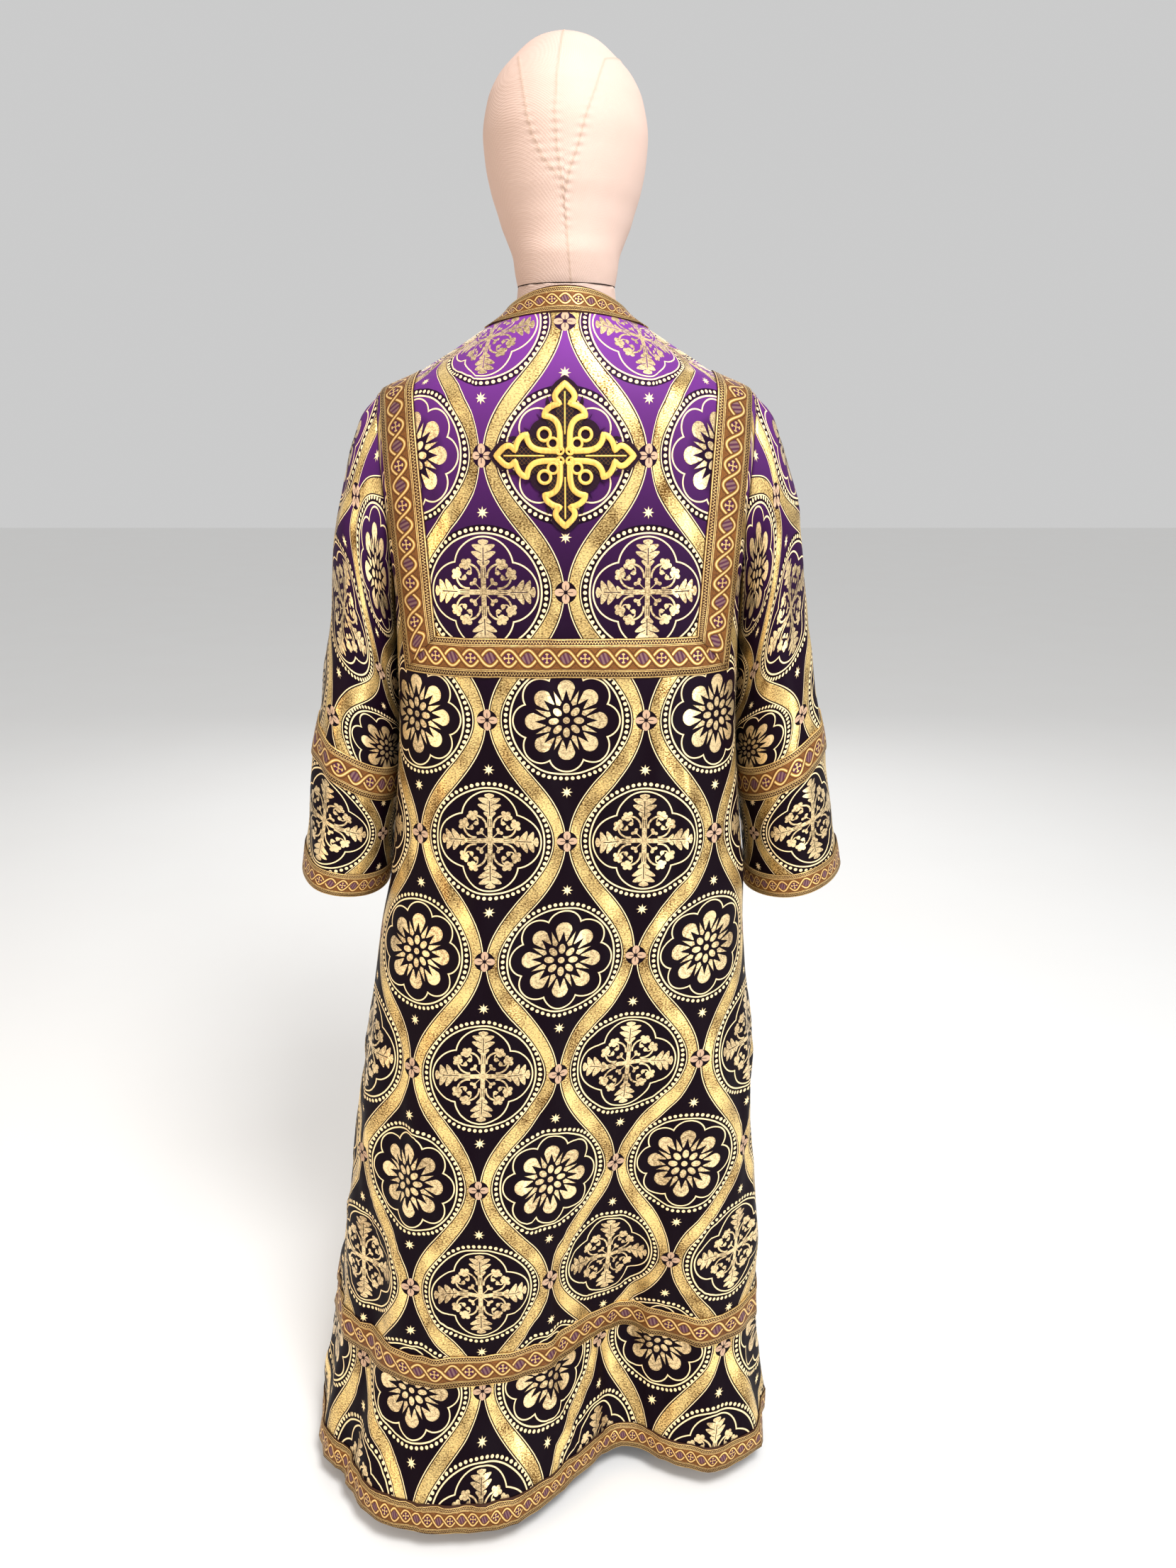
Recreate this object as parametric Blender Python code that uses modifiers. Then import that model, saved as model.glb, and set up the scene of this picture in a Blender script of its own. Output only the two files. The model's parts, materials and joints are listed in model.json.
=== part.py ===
"""A brocade dalmatic of Byzantine cut on a limbless dress form, seen from behind.

Metres, +Z up. The back of the garment faces -Y, the wearer's right side is at +X, and the
origin is the middle of the stand's foot, on the floor. A height called "up" is measured
from the hem, and an angle called "turn" goes from the middle of the back towards +X.
"""
import math
from collections import namedtuple

import bmesh
import bpy
import numpy as np
from mathutils import Vector

# Where the garment hangs
HEM_HEIGHT = 0.030
BODY_Y = -0.012
BACK, FRONT = -1, 1

# Cloth, trim and the gaps between them
WALL = 0.0020
SEAM_GAP = 0.0003
TRIM_GAP = 0.0003
TRIM_THICK = 0.0012
DRAPED_GAP = 0.0006
SLEEVE_GAP = 0.0005
MITRE_GAP = 0.0004
WELD = 0.00001

# Heights of the parts of the body
YOKE_FOOT = 0.981
YOKE_TRIM_TOP = 1.022
ARMPIT = 1.050
SHOULDER_TIP = 1.258
FAN_HEIGHT = 0.350

# Half-breadths at the neck and the yoke
NECK_HALF = 0.061
YOKE_COLUMNS = (0.0847, 0.1083, 0.1320, 0.1720)
YOKE_LEAN = 0.070
OUTER_CELLS = 4
NECK_CELLS = {BACK: 4, FRONT: 6}

# The neckline: height at the centre line and at the shoulder seam
NECK_TOP = 1.343
NECK_BACK = 1.361
NECK_FRONT = 1.225
NECK_TRIM_WIDTH = 0.026
NECK_TRIM_SPREAD = {BACK: 1.4, FRONT: 2.2}
COLUMN_BULGE = {BACK: 0.0, FRONT: 0.022}

# The armhole and the sleeve rings share one step of angle
ARMHOLE_DEPTH = 0.059
ARM_STEP = 18
TRIM_RISE = (1 + math.sin(math.radians(90 - ARM_STEP))) / 2

# Slices of the body: half-breadths, depths, and how square each slice is
Section = namedtuple("Section", "up left right back front flatness roundness")
SECTIONS = (
    Section(0.000, 0.292, 0.270, 0.183, 0.155, 2.4, 0.42),
    Section(0.150, 0.275, 0.257, 0.130, 0.145, 2.5, 0.40),
    Section(0.350, 0.246, 0.246, 0.136, 0.135, 2.7, 0.38),
    Section(0.600, 0.222, 0.222, 0.127, 0.125, 3.0, 0.34),
    Section(0.800, 0.199, 0.197, 0.122, 0.122, 3.1, 0.32),
    Section(0.940, 0.188, 0.187, 0.120, 0.122, 3.2, 0.32),
    Section(1.050, 0.187, 0.187, 0.120, 0.124, 3.2, 0.33),
    Section(1.120, 0.195, 0.195, 0.120, 0.122, 3.0, 0.36),
    Section(1.200, 0.2035, 0.2035, 0.119, 0.112, 2.8, 0.42),
    Section(1.258, 0.200, 0.200, 0.112, 0.098, 2.5, 0.52),
    Section(1.287, 0.145, 0.145, 0.104, 0.090, 2.2, 0.62),
    Section(1.316, 0.100, 0.100, 0.090, 0.078, 2.1, 0.62),
    Section(1.343, 0.061, 0.061, 0.071, 0.060, 2.0, 0.56),
    Section(1.361, 0.052, 0.052, 0.061, 0.054, 2.0, 0.50),
    Section(1.380, 0.045, 0.045, 0.055, 0.048, 2.0, 0.50),
)

# The skirt swings a little to one side as it falls
Drift = namedtuple("Drift", "up centre")
DRIFTS = (
    Drift(0.000, -0.030), Drift(0.273, -0.0237), Drift(0.406, -0.0212),
    Drift(0.538, -0.0127), Drift(0.671, -0.0074), Drift(0.750, 0.0), Drift(1.380, 0.0),
)

# Soft folds of the skirt: where each lies, half its spread, its depth at the hem, its top
Fold = namedtuple("Fold", "turn spread depth top")
FOLDS = (
    Fold(-27, 60, 0.084, 0.80), Fold(19, 28, -0.052, 0.62), Fold(55, 37, 0.039, 0.60),
    Fold(-48, 11, -0.015, 0.75), Fold(128, 30, 0.035, 0.70), Fold(168, 26, -0.030, 0.60),
    Fold(-146, 34, 0.040, 0.70),
)
FOLD_GROWTH = 0.95

# Rows of the panels up to the armpit; the armhole gives the rows above
LOW_ROWS = (
    0.0, 0.028, 0.085, 0.150, 0.190, 0.270, 0.360, 0.460, 0.560,
    0.680, 0.800, 0.900, YOKE_FOOT, YOKE_TRIM_TOP,
)
HEM_TRIM_ROWS = (0, 1)
LOWER_TRIM_ROWS = (3, 4)
YOKE_TRIM_ROWS = (12, 13)

# Sleeve rings: outer and inner point, half the depth, and the swing towards the front
Ring = namedtuple("Ring", "outer_x outer_up inner_up depth swing")
RINGS = (
    Ring(0.2000, 1.258, 1.050, 0.0590, 0.000),
    Ring(0.2170, 1.240, 1.036, 0.0615, 0.000),
    Ring(0.2270, 1.213, 1.020, 0.0650, 0.000),
    Ring(0.2410, 1.168, 0.998, 0.0700, 0.002),
    Ring(0.2490, 1.115, 0.970, 0.0740, 0.004),
    Ring(0.2585, 1.055, 0.935, 0.0770, 0.006),
    Ring(0.2715, 0.985, 0.895, 0.0790, 0.008),
    Ring(0.2855, 0.915, 0.855, 0.0800, 0.010),
    Ring(0.2915, 0.876, 0.816, 0.0810, 0.011),
    Ring(0.3000, 0.820, 0.778, 0.0810, 0.013),
    Ring(0.3135, 0.760, 0.733, 0.0830, 0.015),
    Ring(0.3200, 0.733, 0.706, 0.0840, 0.016),
)
SLEEVE_TRIM_ROWS = (7, 8)
CUFF_TRIM_ROWS = (10, 11)
ARMHOLE_BLEND = 3
SLEEVE_CLEARANCE = 0.0050
LEFT_FLARE = 0.96
SLEEVE_FOLD = 0.005

# Half of one arm of the cross, from its tip to the crotch between two arms
ArmPoint = namedtuple("ArmPoint", "along across")
CROSS_ARM = (
    ArmPoint(0.0700, 0.0), ArmPoint(0.0640, 0.0066), ArmPoint(0.0565, 0.0116),
    ArmPoint(0.0520, 0.0114), ArmPoint(0.0482, 0.0088), ArmPoint(0.0466, 0.0140),
    ArmPoint(0.0425, 0.0188), ArmPoint(0.0350, 0.0208), ArmPoint(0.0348, 0.0150),
    ArmPoint(0.0300, 0.0098), ArmPoint(0.0240, 0.0076), ArmPoint(0.0160, 0.0068),
    ArmPoint(0.0066, 0.0066),
)
CROSS_UP = 1.201
CROSS_CELL = 0.018
CROSS_CELLS = 4
FLAT_ANGLE = 0.01
DISC_SIDES = 14
FELT_MARGIN = 0.0036
FELT_THICK = 0.0012
GOLD_THICK = 0.0022
CrossLoop = namedtuple("CrossLoop", "place outer hole")
CROSS_LOOPS = (CrossLoop(0.0200, 0.0078, 0.0042), CrossLoop(0.0112, 0.0064, 0.0030))

# How far the dress form lies inside the cloth, by height
Inset = namedtuple("Inset", "up depth")
INSETS = (
    Inset(0.560, 0.046), Inset(0.900, 0.030), Inset(1.000, 0.022), Inset(1.100, 0.013),
    Inset(1.180, 0.0065), Inset(1.235, 0.0030), Inset(1.300, 0.0026), Inset(1.380, 0.0026),
)
TORSO_FOOT_ROW = 8
NECK_RADIUS = 0.050
NECK_CUT = 1.3645
NECK_INSET = 0.0080
NECK_CLEAR = 0.1150

# Head: rings of half-breadth, half-depth and centre
HeadRing = namedtuple("HeadRing", "up breadth depth centre")
HEAD = (
    HeadRing(1.3650, 0.0500, 0.0530, -0.004), HeadRing(1.3780, 0.0525, 0.0570, -0.002),
    HeadRing(1.3900, 0.0540, 0.0620, 0.001), HeadRing(1.4085, 0.0605, 0.0730, 0.009),
    HeadRing(1.4220, 0.0660, 0.0810, 0.013), HeadRing(1.4360, 0.0703, 0.0870, 0.014),
    HeadRing(1.4540, 0.0760, 0.0940, 0.013), HeadRing(1.4805, 0.0810, 0.0990, 0.010),
    HeadRing(1.5020, 0.0824, 0.1005, 0.006), HeadRing(1.5326, 0.0770, 0.0940, 0.002),
    HeadRing(1.5510, 0.0680, 0.0830, 0.000), HeadRing(1.5670, 0.0533, 0.0660, -0.002),
    HeadRing(1.5850, 0.0300, 0.0380, -0.004), HeadRing(1.5930, 0.0, 0.0, -0.004),
)
HEAD_GAP = 0.0003
HEAD_SIDES = 24

# Stand
POLE_RADIUS = 0.016
POLE_SIDES = 20
FOOT_RADIUS = 0.105
FOOT_SIDES = 40
FOOT_THICK = 0.012
FOOT_BEVEL = 0.003

# Finishes: colour, roughness and metallic value
Finish = namedtuple("Finish", "colour roughness metallic")
FINISHES = {
    "brocade": Finish((0.16, 0.05, 0.20), 0.55, 0.0),
    "galloon": Finish((0.52, 0.34, 0.12), 0.50, 0.3),
    "felt": Finish((0.04, 0.02, 0.05), 0.90, 0.0),
    "gold_work": Finish((0.85, 0.60, 0.15), 0.40, 0.5),
    "linen": Finish((0.80, 0.70, 0.62), 0.85, 0.0),
    "painted_steel": Finish((0.08, 0.08, 0.08), 0.45, 0.0),
}


def smooth_curve(knots, values):
    """A monotone cubic through a table, which never overshoots its rows."""
    knots = np.asarray(knots, float)
    values = np.asarray(values, float)
    step = np.diff(knots)
    slope = np.diff(values) / step
    tangent = np.zeros(len(knots))
    for i in range(1, len(knots) - 1):
        if slope[i - 1] * slope[i] > 0:
            near = 2 * step[i] + step[i - 1]
            far = step[i] + 2 * step[i - 1]
            tangent[i] = (near + far) / (near / slope[i - 1] + far / slope[i])
    tangent[0] = slope[0]
    tangent[-1] = slope[-1]

    def read(place):
        place = np.clip(place, knots[0], knots[-1])
        i = np.clip(np.searchsorted(knots, place, side="right") - 1, 0, len(knots) - 2)
        s = (place - knots[i]) / step[i]
        rise = values[i] * (1 + 2 * s) * (1 - s) ** 2 + values[i + 1] * s * s * (3 - 2 * s)
        lean = step[i] * s * (1 - s) * (tangent[i] * (1 - s) - tangent[i + 1] * s)
        return rise + lean

    return read


def table_curves(table):
    """One smooth curve over the first column for each other column of a table."""
    columns = list(zip(*table))
    names = table[0]._fields[1:]
    return {name: smooth_curve(columns[0], column) for name, column in zip(names, columns[1:])}


BODY = table_curves(SECTIONS)
CENTRE = table_curves(DRIFTS)["centre"]
INSET = table_curves(INSETS)["depth"]
RIDGE_UPS = np.linspace(SHOULDER_TIP, SECTIONS[-1].up, 400)
RIDGE_XS = BODY["right"](RIDGE_UPS)
SHOULDER_TIP_X = float(BODY["right"](SHOULDER_TIP))


def half_breadth(up, half):
    """Half-breadth of the body on one half, -1 or 1, at a height."""
    return BODY["right" if half > 0 else "left"](up)


def side_depth(up, side):
    """Depth of the back or the front at a height."""
    return BODY["back" if side == BACK else "front"](up)


def ridge_up(x):
    """Height of the shoulder line at a breadth."""
    return float(np.interp(abs(x), RIDGE_XS[::-1], RIDGE_UPS[::-1]))


def surface_y(x, up, side):
    """Depth of the unfolded cloth at a place in the yoke."""
    share = np.clip(abs(x) / half_breadth(up, x), 0, 1)
    return side * side_depth(up, side) * (1 - share ** BODY["flatness"](up)) ** BODY["roundness"](up)


def fold_lift(turn, up):
    """How far the folds push the skirt out at a turn and a height."""
    lift = np.zeros_like(turn)
    for fold in FOLDS:
        if up < fold.top:
            away = (turn - fold.turn + 180) % 360 - 180
            share = np.clip(np.abs(away) / fold.spread, 0, 1)
            growth = ((fold.top - up) / fold.top) ** FOLD_GROWTH
            lift += fold.depth * growth * np.cos(share * math.pi / 2) ** 2
    return lift


def half_outline(up, side, half):
    """The folded slice from the centre line to one side seam: points, and the length run."""
    angle = np.linspace(0, 90, 361)
    share = np.sin(np.radians(angle))
    x = CENTRE(up) + half * half_breadth(up, half) * share
    curve = (1 - share ** BODY["flatness"](up)) ** BODY["roundness"](up)
    y = side * side_depth(up, side) * curve
    along = np.stack([np.gradient(x), np.gradient(y)])
    along /= np.linalg.norm(along, axis=0)
    out = np.stack([-along[1], along[0]]) * side * half
    out[:, 0] = (0, side)
    out[:, -1] = (half, 0)
    turn = half * (angle if side == BACK else 180 - angle)
    x, y = np.stack([x, y]) + out * fold_lift(turn, up)
    run = np.concatenate([[0], np.cumsum(np.hypot(np.diff(x), np.diff(y)))])
    return x, y, run


def seam_x(up, half):
    """Where the side seam lies at a height."""
    return float(half_outline(up, BACK, half)[0][-1])


def neck_point(side, share, front_low=NECK_FRONT):
    """A point of the neckline, from the centre line at 0 to the shoulder seam at 1."""
    if side == BACK:
        angle = share * math.pi / 2
        x = NECK_HALF * math.sin(angle)
        return x, NECK_BACK - (NECK_BACK - NECK_TOP) * math.sin(angle) ** 2
    angle = (1 - (1 - share) ** 1.5) * math.pi / 2
    return NECK_HALF * math.sin(angle), NECK_TOP - (NECK_TOP - front_low) * math.cos(angle)


def inner_columns(side):
    """Breadths of the columns from the centre line to the outer edge of the yoke trim."""
    cells = NECK_CELLS[side]
    neck = [NECK_HALF * i / cells for i in range(cells + 1)]
    return np.array(neck + list(YOKE_COLUMNS))


def lean_share(x):
    """How much of the yoke's outward lean a column takes."""
    return np.clip((x - YOKE_COLUMNS[0]) / (YOKE_COLUMNS[2] - YOKE_COLUMNS[0]), 0, 1)


def neck_trim_foot(side, share, front_low):
    """A point of the neck trim's lower edge, from the centre line to the shoulder seam."""
    reach = YOKE_COLUMNS[0]
    end = ridge_up(reach)
    if side == BACK:
        angle = share * math.pi / 2
        low = NECK_BACK - NECK_TRIM_WIDTH
        return reach * math.sin(angle), low + (end - low) * math.sin(angle) ** 2
    angle = (1 - (1 - share) ** 1.5) * math.pi / 2
    low = front_low - NECK_TRIM_WIDTH
    return reach * math.sin(angle), end - (end - low) * math.cos(angle)


def neck_column(i, rise, side, front_low):
    """A point of one of the columns that meet the neck, at a share of the armhole's rise."""
    cells = NECK_CELLS[side]
    if rise == 1 and i <= cells:
        return neck_point(side, i / cells, front_low)
    if rise == 1:
        return YOKE_COLUMNS[0], ridge_up(YOKE_COLUMNS[0])
    top_x, top = neck_trim_foot(side, i / (cells + NECK_TRIM_SPREAD[side]), front_low)
    foot_x = inner_columns(side)[i]
    share = rise / TRIM_RISE
    bulge = COLUMN_BULGE[side] * (i / (cells + 1)) ** 3 * math.sin(math.pi * share ** 1.5)
    return foot_x + (top_x - foot_x) * share ** 3 + bulge, ARMPIT + (top - ARMPIT) * share


def low_row(up, side, half):
    """One row below the armpit, from the centre line to the side seam."""
    x, y, run = half_outline(up, side, half)
    inner = inner_columns(side)
    reach = np.maximum.accumulate(half * x)
    yoke = np.interp(inner + YOKE_LEAN * lean_share(inner) * (up - 1.0), reach, run)
    outer = yoke[-1] + (run[-1] - yoke[-1]) * np.arange(1, OUTER_CELLS + 1) / OUTER_CELLS
    yoke = np.concatenate([yoke, outer])
    even = run[-1] * np.arange(len(yoke)) / (len(yoke) - 1)
    share = np.clip((YOKE_FOOT - up) / FAN_HEIGHT, 0, 1)
    share = share * share * (3 - 2 * share)
    places = yoke * (1 - share) + even * share
    return np.stack([np.interp(places, run, x), np.interp(places, run, y), np.full(len(places), up)], 1)


def armhole_x(up, y):
    """Half-breadth of the armhole where it passes through a height and a depth."""
    side = BACK if y < 0 else FRONT
    share = (abs(y) / side_depth(up, side)) ** (1 / BODY["roundness"](up))
    return float(half_breadth(up, 1) * (1 - share) ** (1 / BODY["flatness"](up)))


def high_row(angle, side, front_low):
    """One row above the armpit, on the +X half, by its angle round the armhole."""
    rise = (1 + math.sin(math.radians(angle))) / 2
    points = []
    for i, x0 in enumerate(inner_columns(side)):
        if i <= NECK_CELLS[side] + 1:
            x, up = neck_column(i, rise, side, front_low)
        else:
            lean = YOKE_LEAN * float(lean_share(x0))
            top = ridge_up(x0)
            for _ in range(8):
                top = ridge_up(x0 + lean * (top - 1.0))
            up = ARMPIT + (top - ARMPIT) * rise
            x = x0 + lean * (up - 1.0)
        points.append((x, float(surface_y(x, up, side)), up))
    x_in, _, up_in = points[-1]
    edge_y = side * ARMHOLE_DEPTH * math.cos(math.radians(angle))
    edge_up = ARMPIT + (SHOULDER_TIP - ARMPIT) * rise
    edge_x = armhole_x(edge_up, edge_y)
    wide_in = float(half_breadth(up_in, 1))
    wide_out = float(half_breadth(edge_up, 1))
    start = math.asin(min(x_in / wide_in, 1))
    stop = math.asin(min(edge_x / wide_out, 1))
    for i in range(1, OUTER_CELLS):
        share = i / OUTER_CELLS
        up = ARMPIT + (top * (1 - share) + SHOULDER_TIP * share - ARMPIT) * rise
        x = (wide_in * (1 - share) + wide_out * share) * math.sin(start * (1 - share) + stop * share)
        points.append((x, float(surface_y(x, up, side)), up))
    points.append((edge_x, edge_y, edge_up))
    row = np.array(points)
    if angle == 90:
        row[NECK_CELLS[side]:, 1] = 0
    return row


def mirror_row(row):
    """A row of the +X half carried to the -X half."""
    return row * np.array([-1, 1, 1])


def panel_points(side, front_low=NECK_FRONT):
    """The outer points of the back or the front, row by row from the hem up."""
    rows = []
    for up in LOW_ROWS:
        rows.append((low_row(up, side, -1), low_row(up, side, 1)))
    for angle in range(-90, 91, ARM_STEP):
        row = high_row(angle, side, front_low)
        rows.append((mirror_row(row), row))
    return np.array([np.concatenate([left[:0:-1], right]) for left, right in rows])


def cell_normals(points, closed=False):
    """Directions at grid points, each the mean of those of the cells round it."""
    rising = points[1:, 1:] - points[:-1, :-1]
    falling = points[1:, :-1] - points[:-1, 1:]
    cells = np.cross(rising, falling)
    cells /= np.linalg.norm(cells, axis=2, keepdims=True)
    total = np.zeros_like(points)
    for rows in (slice(None, -1), slice(1, None)):
        for columns in (slice(None, -1), slice(1, None)):
            total[rows, columns] += cells
    if closed:
        total[:, 0] += total[:, -1]
        total[:, -1] = total[:, 0]
    return total / np.linalg.norm(total, axis=2, keepdims=True)


def panel_normals(points, side):
    """Directions out of the cloth at each point, shared by both panels along their seams."""
    out = cell_normals(points) * -side
    seam_rows = len(LOW_ROWS) + 1
    for half, edge in ((-1, 0), (1, -1)):
        out[:seam_rows, edge] = (half, 0, 0)
        ridge = points[-1][np.abs(points[-1][:, 0]) >= NECK_HALF - WELD]
        ridge = ridge[ridge[:, 0] * half > 0]
        slope = np.gradient(ridge, axis=0)
        normal = np.stack([-slope[:, 2], np.zeros(len(ridge)), slope[:, 0]], 1)
        normal /= np.linalg.norm(normal, axis=1, keepdims=True)
        place = slice(0, len(ridge)) if half < 0 else slice(-len(ridge), None)
        out[-1, place] = normal
    return out


def open_seams(points, side):
    """Panel points drawn back from the side and shoulder seams by half a seam gap."""
    drawn = points.copy()
    drawn[..., 1] = side * np.maximum(side * drawn[..., 1], SEAM_GAP / 2)
    return drawn


def place(point):
    """A garment point in the part's frame."""
    return (point[0], point[1] + BODY_Y, point[2] + HEM_HEIGHT)


def add_sheet(mesh, points, tag=None):
    """Lay a grid of points into a mesh as an open sheet, and keep each point's number."""
    rows, columns = points.shape[:2]
    first = len(mesh.verts)
    made = bmesh.ops.create_grid(mesh, x_segments=columns - 1, y_segments=rows - 1, size=1.0)
    order = sorted(made["verts"], key=lambda v: (round(v.co.y, 5), round(v.co.x, 5)))
    for number, (vert, point) in enumerate(zip(order, points.reshape(-1, 3))):
        vert.co = place(point)
        if tag:
            vert[tag] = first + number


def make_object(name, mesh, finish):
    """Turn a mesh into a named object with its own material."""
    data = bpy.data.meshes.new(name)
    mesh.to_mesh(data)
    mesh.free()
    return finish_object(bpy.data.objects.new(name, data), finish)


def finish_object(thing, finish):
    """Put an object in the part's collection and give it its finish."""
    look = FINISHES[finish]
    material = bpy.data.materials.new(thing.name)
    material.use_nodes = True
    shader = material.node_tree.nodes["Principled BSDF"]
    shader.inputs["Base Color"].default_value = (*look.colour, 1)
    shader.inputs["Roughness"].default_value = look.roughness
    shader.inputs["Metallic"].default_value = look.metallic
    thing.data.materials.clear()
    thing.data.materials.append(material)
    PARTS.objects.link(thing)
    return thing


def split_cells(mesh):
    """Split each cell into two triangles, the two halves of the garment mirrored."""
    right = [face for face in mesh.faces if face.calc_center_median().x > 0]
    left = [face for face in mesh.faces if face.calc_center_median().x <= 0]
    bmesh.ops.triangulate(mesh, faces=right, quad_method="ALTERNATE")
    bmesh.ops.triangulate(mesh, faces=left, quad_method="FIXED")


def cloth_wall(name, sheets, finish):
    """A wall of cloth: sheets of outer points, each with its way inward, sewn where they meet."""
    mesh = bmesh.new()
    tag = mesh.verts.layers.int.new("place")
    for outer, _ in sheets:
        add_sheet(mesh, outer, tag)
    split_cells(mesh)
    bmesh.ops.remove_doubles(mesh, verts=mesh.verts[:], dist=WELD)
    grown = bmesh.ops.extrude_face_region(mesh, geom=mesh.faces[:])
    inward = np.concatenate([way.reshape(-1, 3) for _, way in sheets])
    for vert in grown["geom"]:
        if isinstance(vert, bmesh.types.BMVert):
            vert.co += Vector(inward[vert[tag]])
    bmesh.ops.recalc_face_normals(mesh, faces=mesh.faces[:])
    return make_object(name, mesh, finish)


def trim(name, grids, gap=TRIM_GAP):
    """A galloon that lies on cloth points, moved out along their directions."""
    sheets = [(points + out * (gap + TRIM_THICK), -out * TRIM_THICK) for points, out in grids]
    cloth_wall(name, sheets, "galloon")


def column_of(side, half, number):
    """Index of the yoke column with this number, counted from the neck outwards."""
    centre = NECK_CELLS[side] + len(YOKE_COLUMNS) + OUTER_CELLS
    return centre + half * (NECK_CELLS[side] + number)


def yoke_side_strip(grid, side, half):
    """The yoke columns under a side trim, from its foot to the shoulder seam."""
    inner = column_of(side, half, 3)
    outer = column_of(side, half, 4)
    return grid[YOKE_TRIM_ROWS[0]:, min(inner, outer):max(inner, outer) + 1].copy()


def mitre_side(points, half):
    """Cut the foot of a side trim along the diagonal of the yoke's corner."""
    inner, outer = (0, 1) if half > 0 else (1, 0)
    lift = np.array([0, 0, MITRE_GAP])
    points[0, outer] += lift
    points[0, inner] = points[0, outer]
    points[1, inner] += lift
    return points


def yoke_foot_strip(grid, side):
    """The yoke cells under the cross trim, with the corner cells of both sides."""
    low, high = YOKE_TRIM_ROWS
    return grid[low:high + 1, column_of(side, -1, 4):column_of(side, 1, 4) + 1].copy()


def mitre_foot(points):
    """Cut both ends of a cross trim along the diagonal of the yoke's corner."""
    for outer, inner, half in ((0, 1, -1), (-1, -2, 1)):
        draw = np.array([half * MITRE_GAP, 0, 0])
        points[0, outer] -= draw
        points[1, inner] -= draw
        points[1, outer] = points[1, inner]
    return points


def sleeve_points(half):
    """Rings of one sleeve, from the armhole to the cuff, each closed on its first point."""
    angles = np.radians(np.arange(-90, 271, ARM_STEP))
    flare = 1 if half > 0 else LEFT_FLARE
    last = len(RINGS) - 1
    rings = []
    for k, ring in enumerate(RINGS):
        outer_x = RINGS[0].outer_x + (ring.outer_x - RINGS[0].outer_x) * flare
        inner_x = abs(seam_x(ring.inner_up, half)) + SLEEVE_GAP + SLEEVE_CLEARANCE * k / last
        lift = (1 + np.sin(angles)) / 2
        x = inner_x + (outer_x + SLEEVE_GAP - inner_x) * lift
        up = ring.inner_up + (ring.outer_up - ring.inner_up) * lift
        y = -ring.depth * np.cos(angles)
        if k < ARMHOLE_BLEND:
            true_x = [armhole_x(u, d) + SLEEVE_GAP for u, d in zip(*armhole_ring(angles))]
            straight = SLEEVE_GAP + seam_x(ARMPIT, 1) + (SHOULDER_TIP_X - seam_x(ARMPIT, 1)) * lift
            x = x + (np.array(true_x) - straight) * (1 - k / ARMHOLE_BLEND)
        wave = SLEEVE_FOLD * (k / last) ** 1.5 * np.cos(3 * angles + half) * lift
        swell = 1 + wave / ring.depth
        rings.append(np.stack([half * x, y * swell + ring.swing, up], 1))
    return np.array(rings)


def armhole_ring(angles):
    """Heights and depths of the armhole at angles all round it."""
    rise = (1 + np.sin(angles)) / 2
    return ARMPIT + (SHOULDER_TIP - ARMPIT) * rise, -ARMHOLE_DEPTH * np.cos(angles)


def sleeve_normals(points, half):
    """Directions out of a sleeve, flat in the armhole's plane at its first ring."""
    out = cell_normals(points, closed=True) * -half
    out[0, :, 0] = 0
    return out / np.linalg.norm(out, axis=2, keepdims=True)


def neck_trim_cells(grid, side):
    """The panel cells round the neck, down to the lower edge of the neck trim."""
    reach = NECK_CELLS[side] + 1
    centre = grid.shape[1] // 2
    return grid[-2:, centre - reach:centre + reach + 1]


def cross_outline():
    """The cross's outline, arm by arm, as flat points round its centre."""
    outline = []
    for quarter in range(4):
        turn = math.radians(90 * quarter)
        arm = [(p.along, -p.across) for p in CROSS_ARM[:0:-1]] + [(p.along, p.across) for p in CROSS_ARM]
        for along, across in arm[:-1]:
            x = across * math.cos(turn) + along * math.sin(turn)
            z = along * math.cos(turn) - across * math.sin(turn)
            outline.append((x, z))
    return outline


def grow_outline(outline, margin):
    """An outline moved outwards by a margin."""
    points = np.array(outline)
    ahead = np.roll(points, -1, axis=0) - np.roll(points, 1, axis=0)
    out = np.stack([-ahead[:, 1], ahead[:, 0]], 1)
    out /= np.linalg.norm(out, axis=1, keepdims=True)
    return [tuple(p) for p in points + out * margin]


def flat_plate(name, outline, thickness):
    """A flat plate in the XZ plane with an outline, as a mesh object of the cutters' group."""
    curve = bpy.data.curves.new(name, "CURVE")
    curve.dimensions = "2D"
    curve.fill_mode = "BOTH"
    curve.extrude = thickness / 2
    spline = curve.splines.new("POLY")
    spline.points.add(len(outline) - 1)
    for point, (x, z) in zip(spline.points, outline):
        point.co = (x, z, 0, 1)
    spline.use_cyclic_u = True
    return curve_to_mesh(name, curve)


def curve_to_mesh(name, curve):
    """Make a curve into a closed mesh object, stood upright to face -Y."""
    rough = bpy.data.objects.new(name, curve)
    CUTTERS.objects.link(rough)
    bpy.context.view_layer.update()
    solid = bpy.data.meshes.new_from_object(rough.evaluated_get(bpy.context.evaluated_depsgraph_get()))
    bpy.data.objects.remove(rough)
    mesh = bmesh.new()
    mesh.from_mesh(solid)
    bmesh.ops.remove_doubles(mesh, verts=mesh.verts[:], dist=WELD)
    for vert in mesh.verts:
        vert.co = (vert.co.x, vert.co.z, vert.co.y)
    bmesh.ops.recalc_face_normals(mesh, faces=mesh.faces[:])
    mesh.to_mesh(solid)
    mesh.free()
    thing = bpy.data.objects.new(name, solid)
    CUTTERS.objects.link(thing)
    return thing


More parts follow.
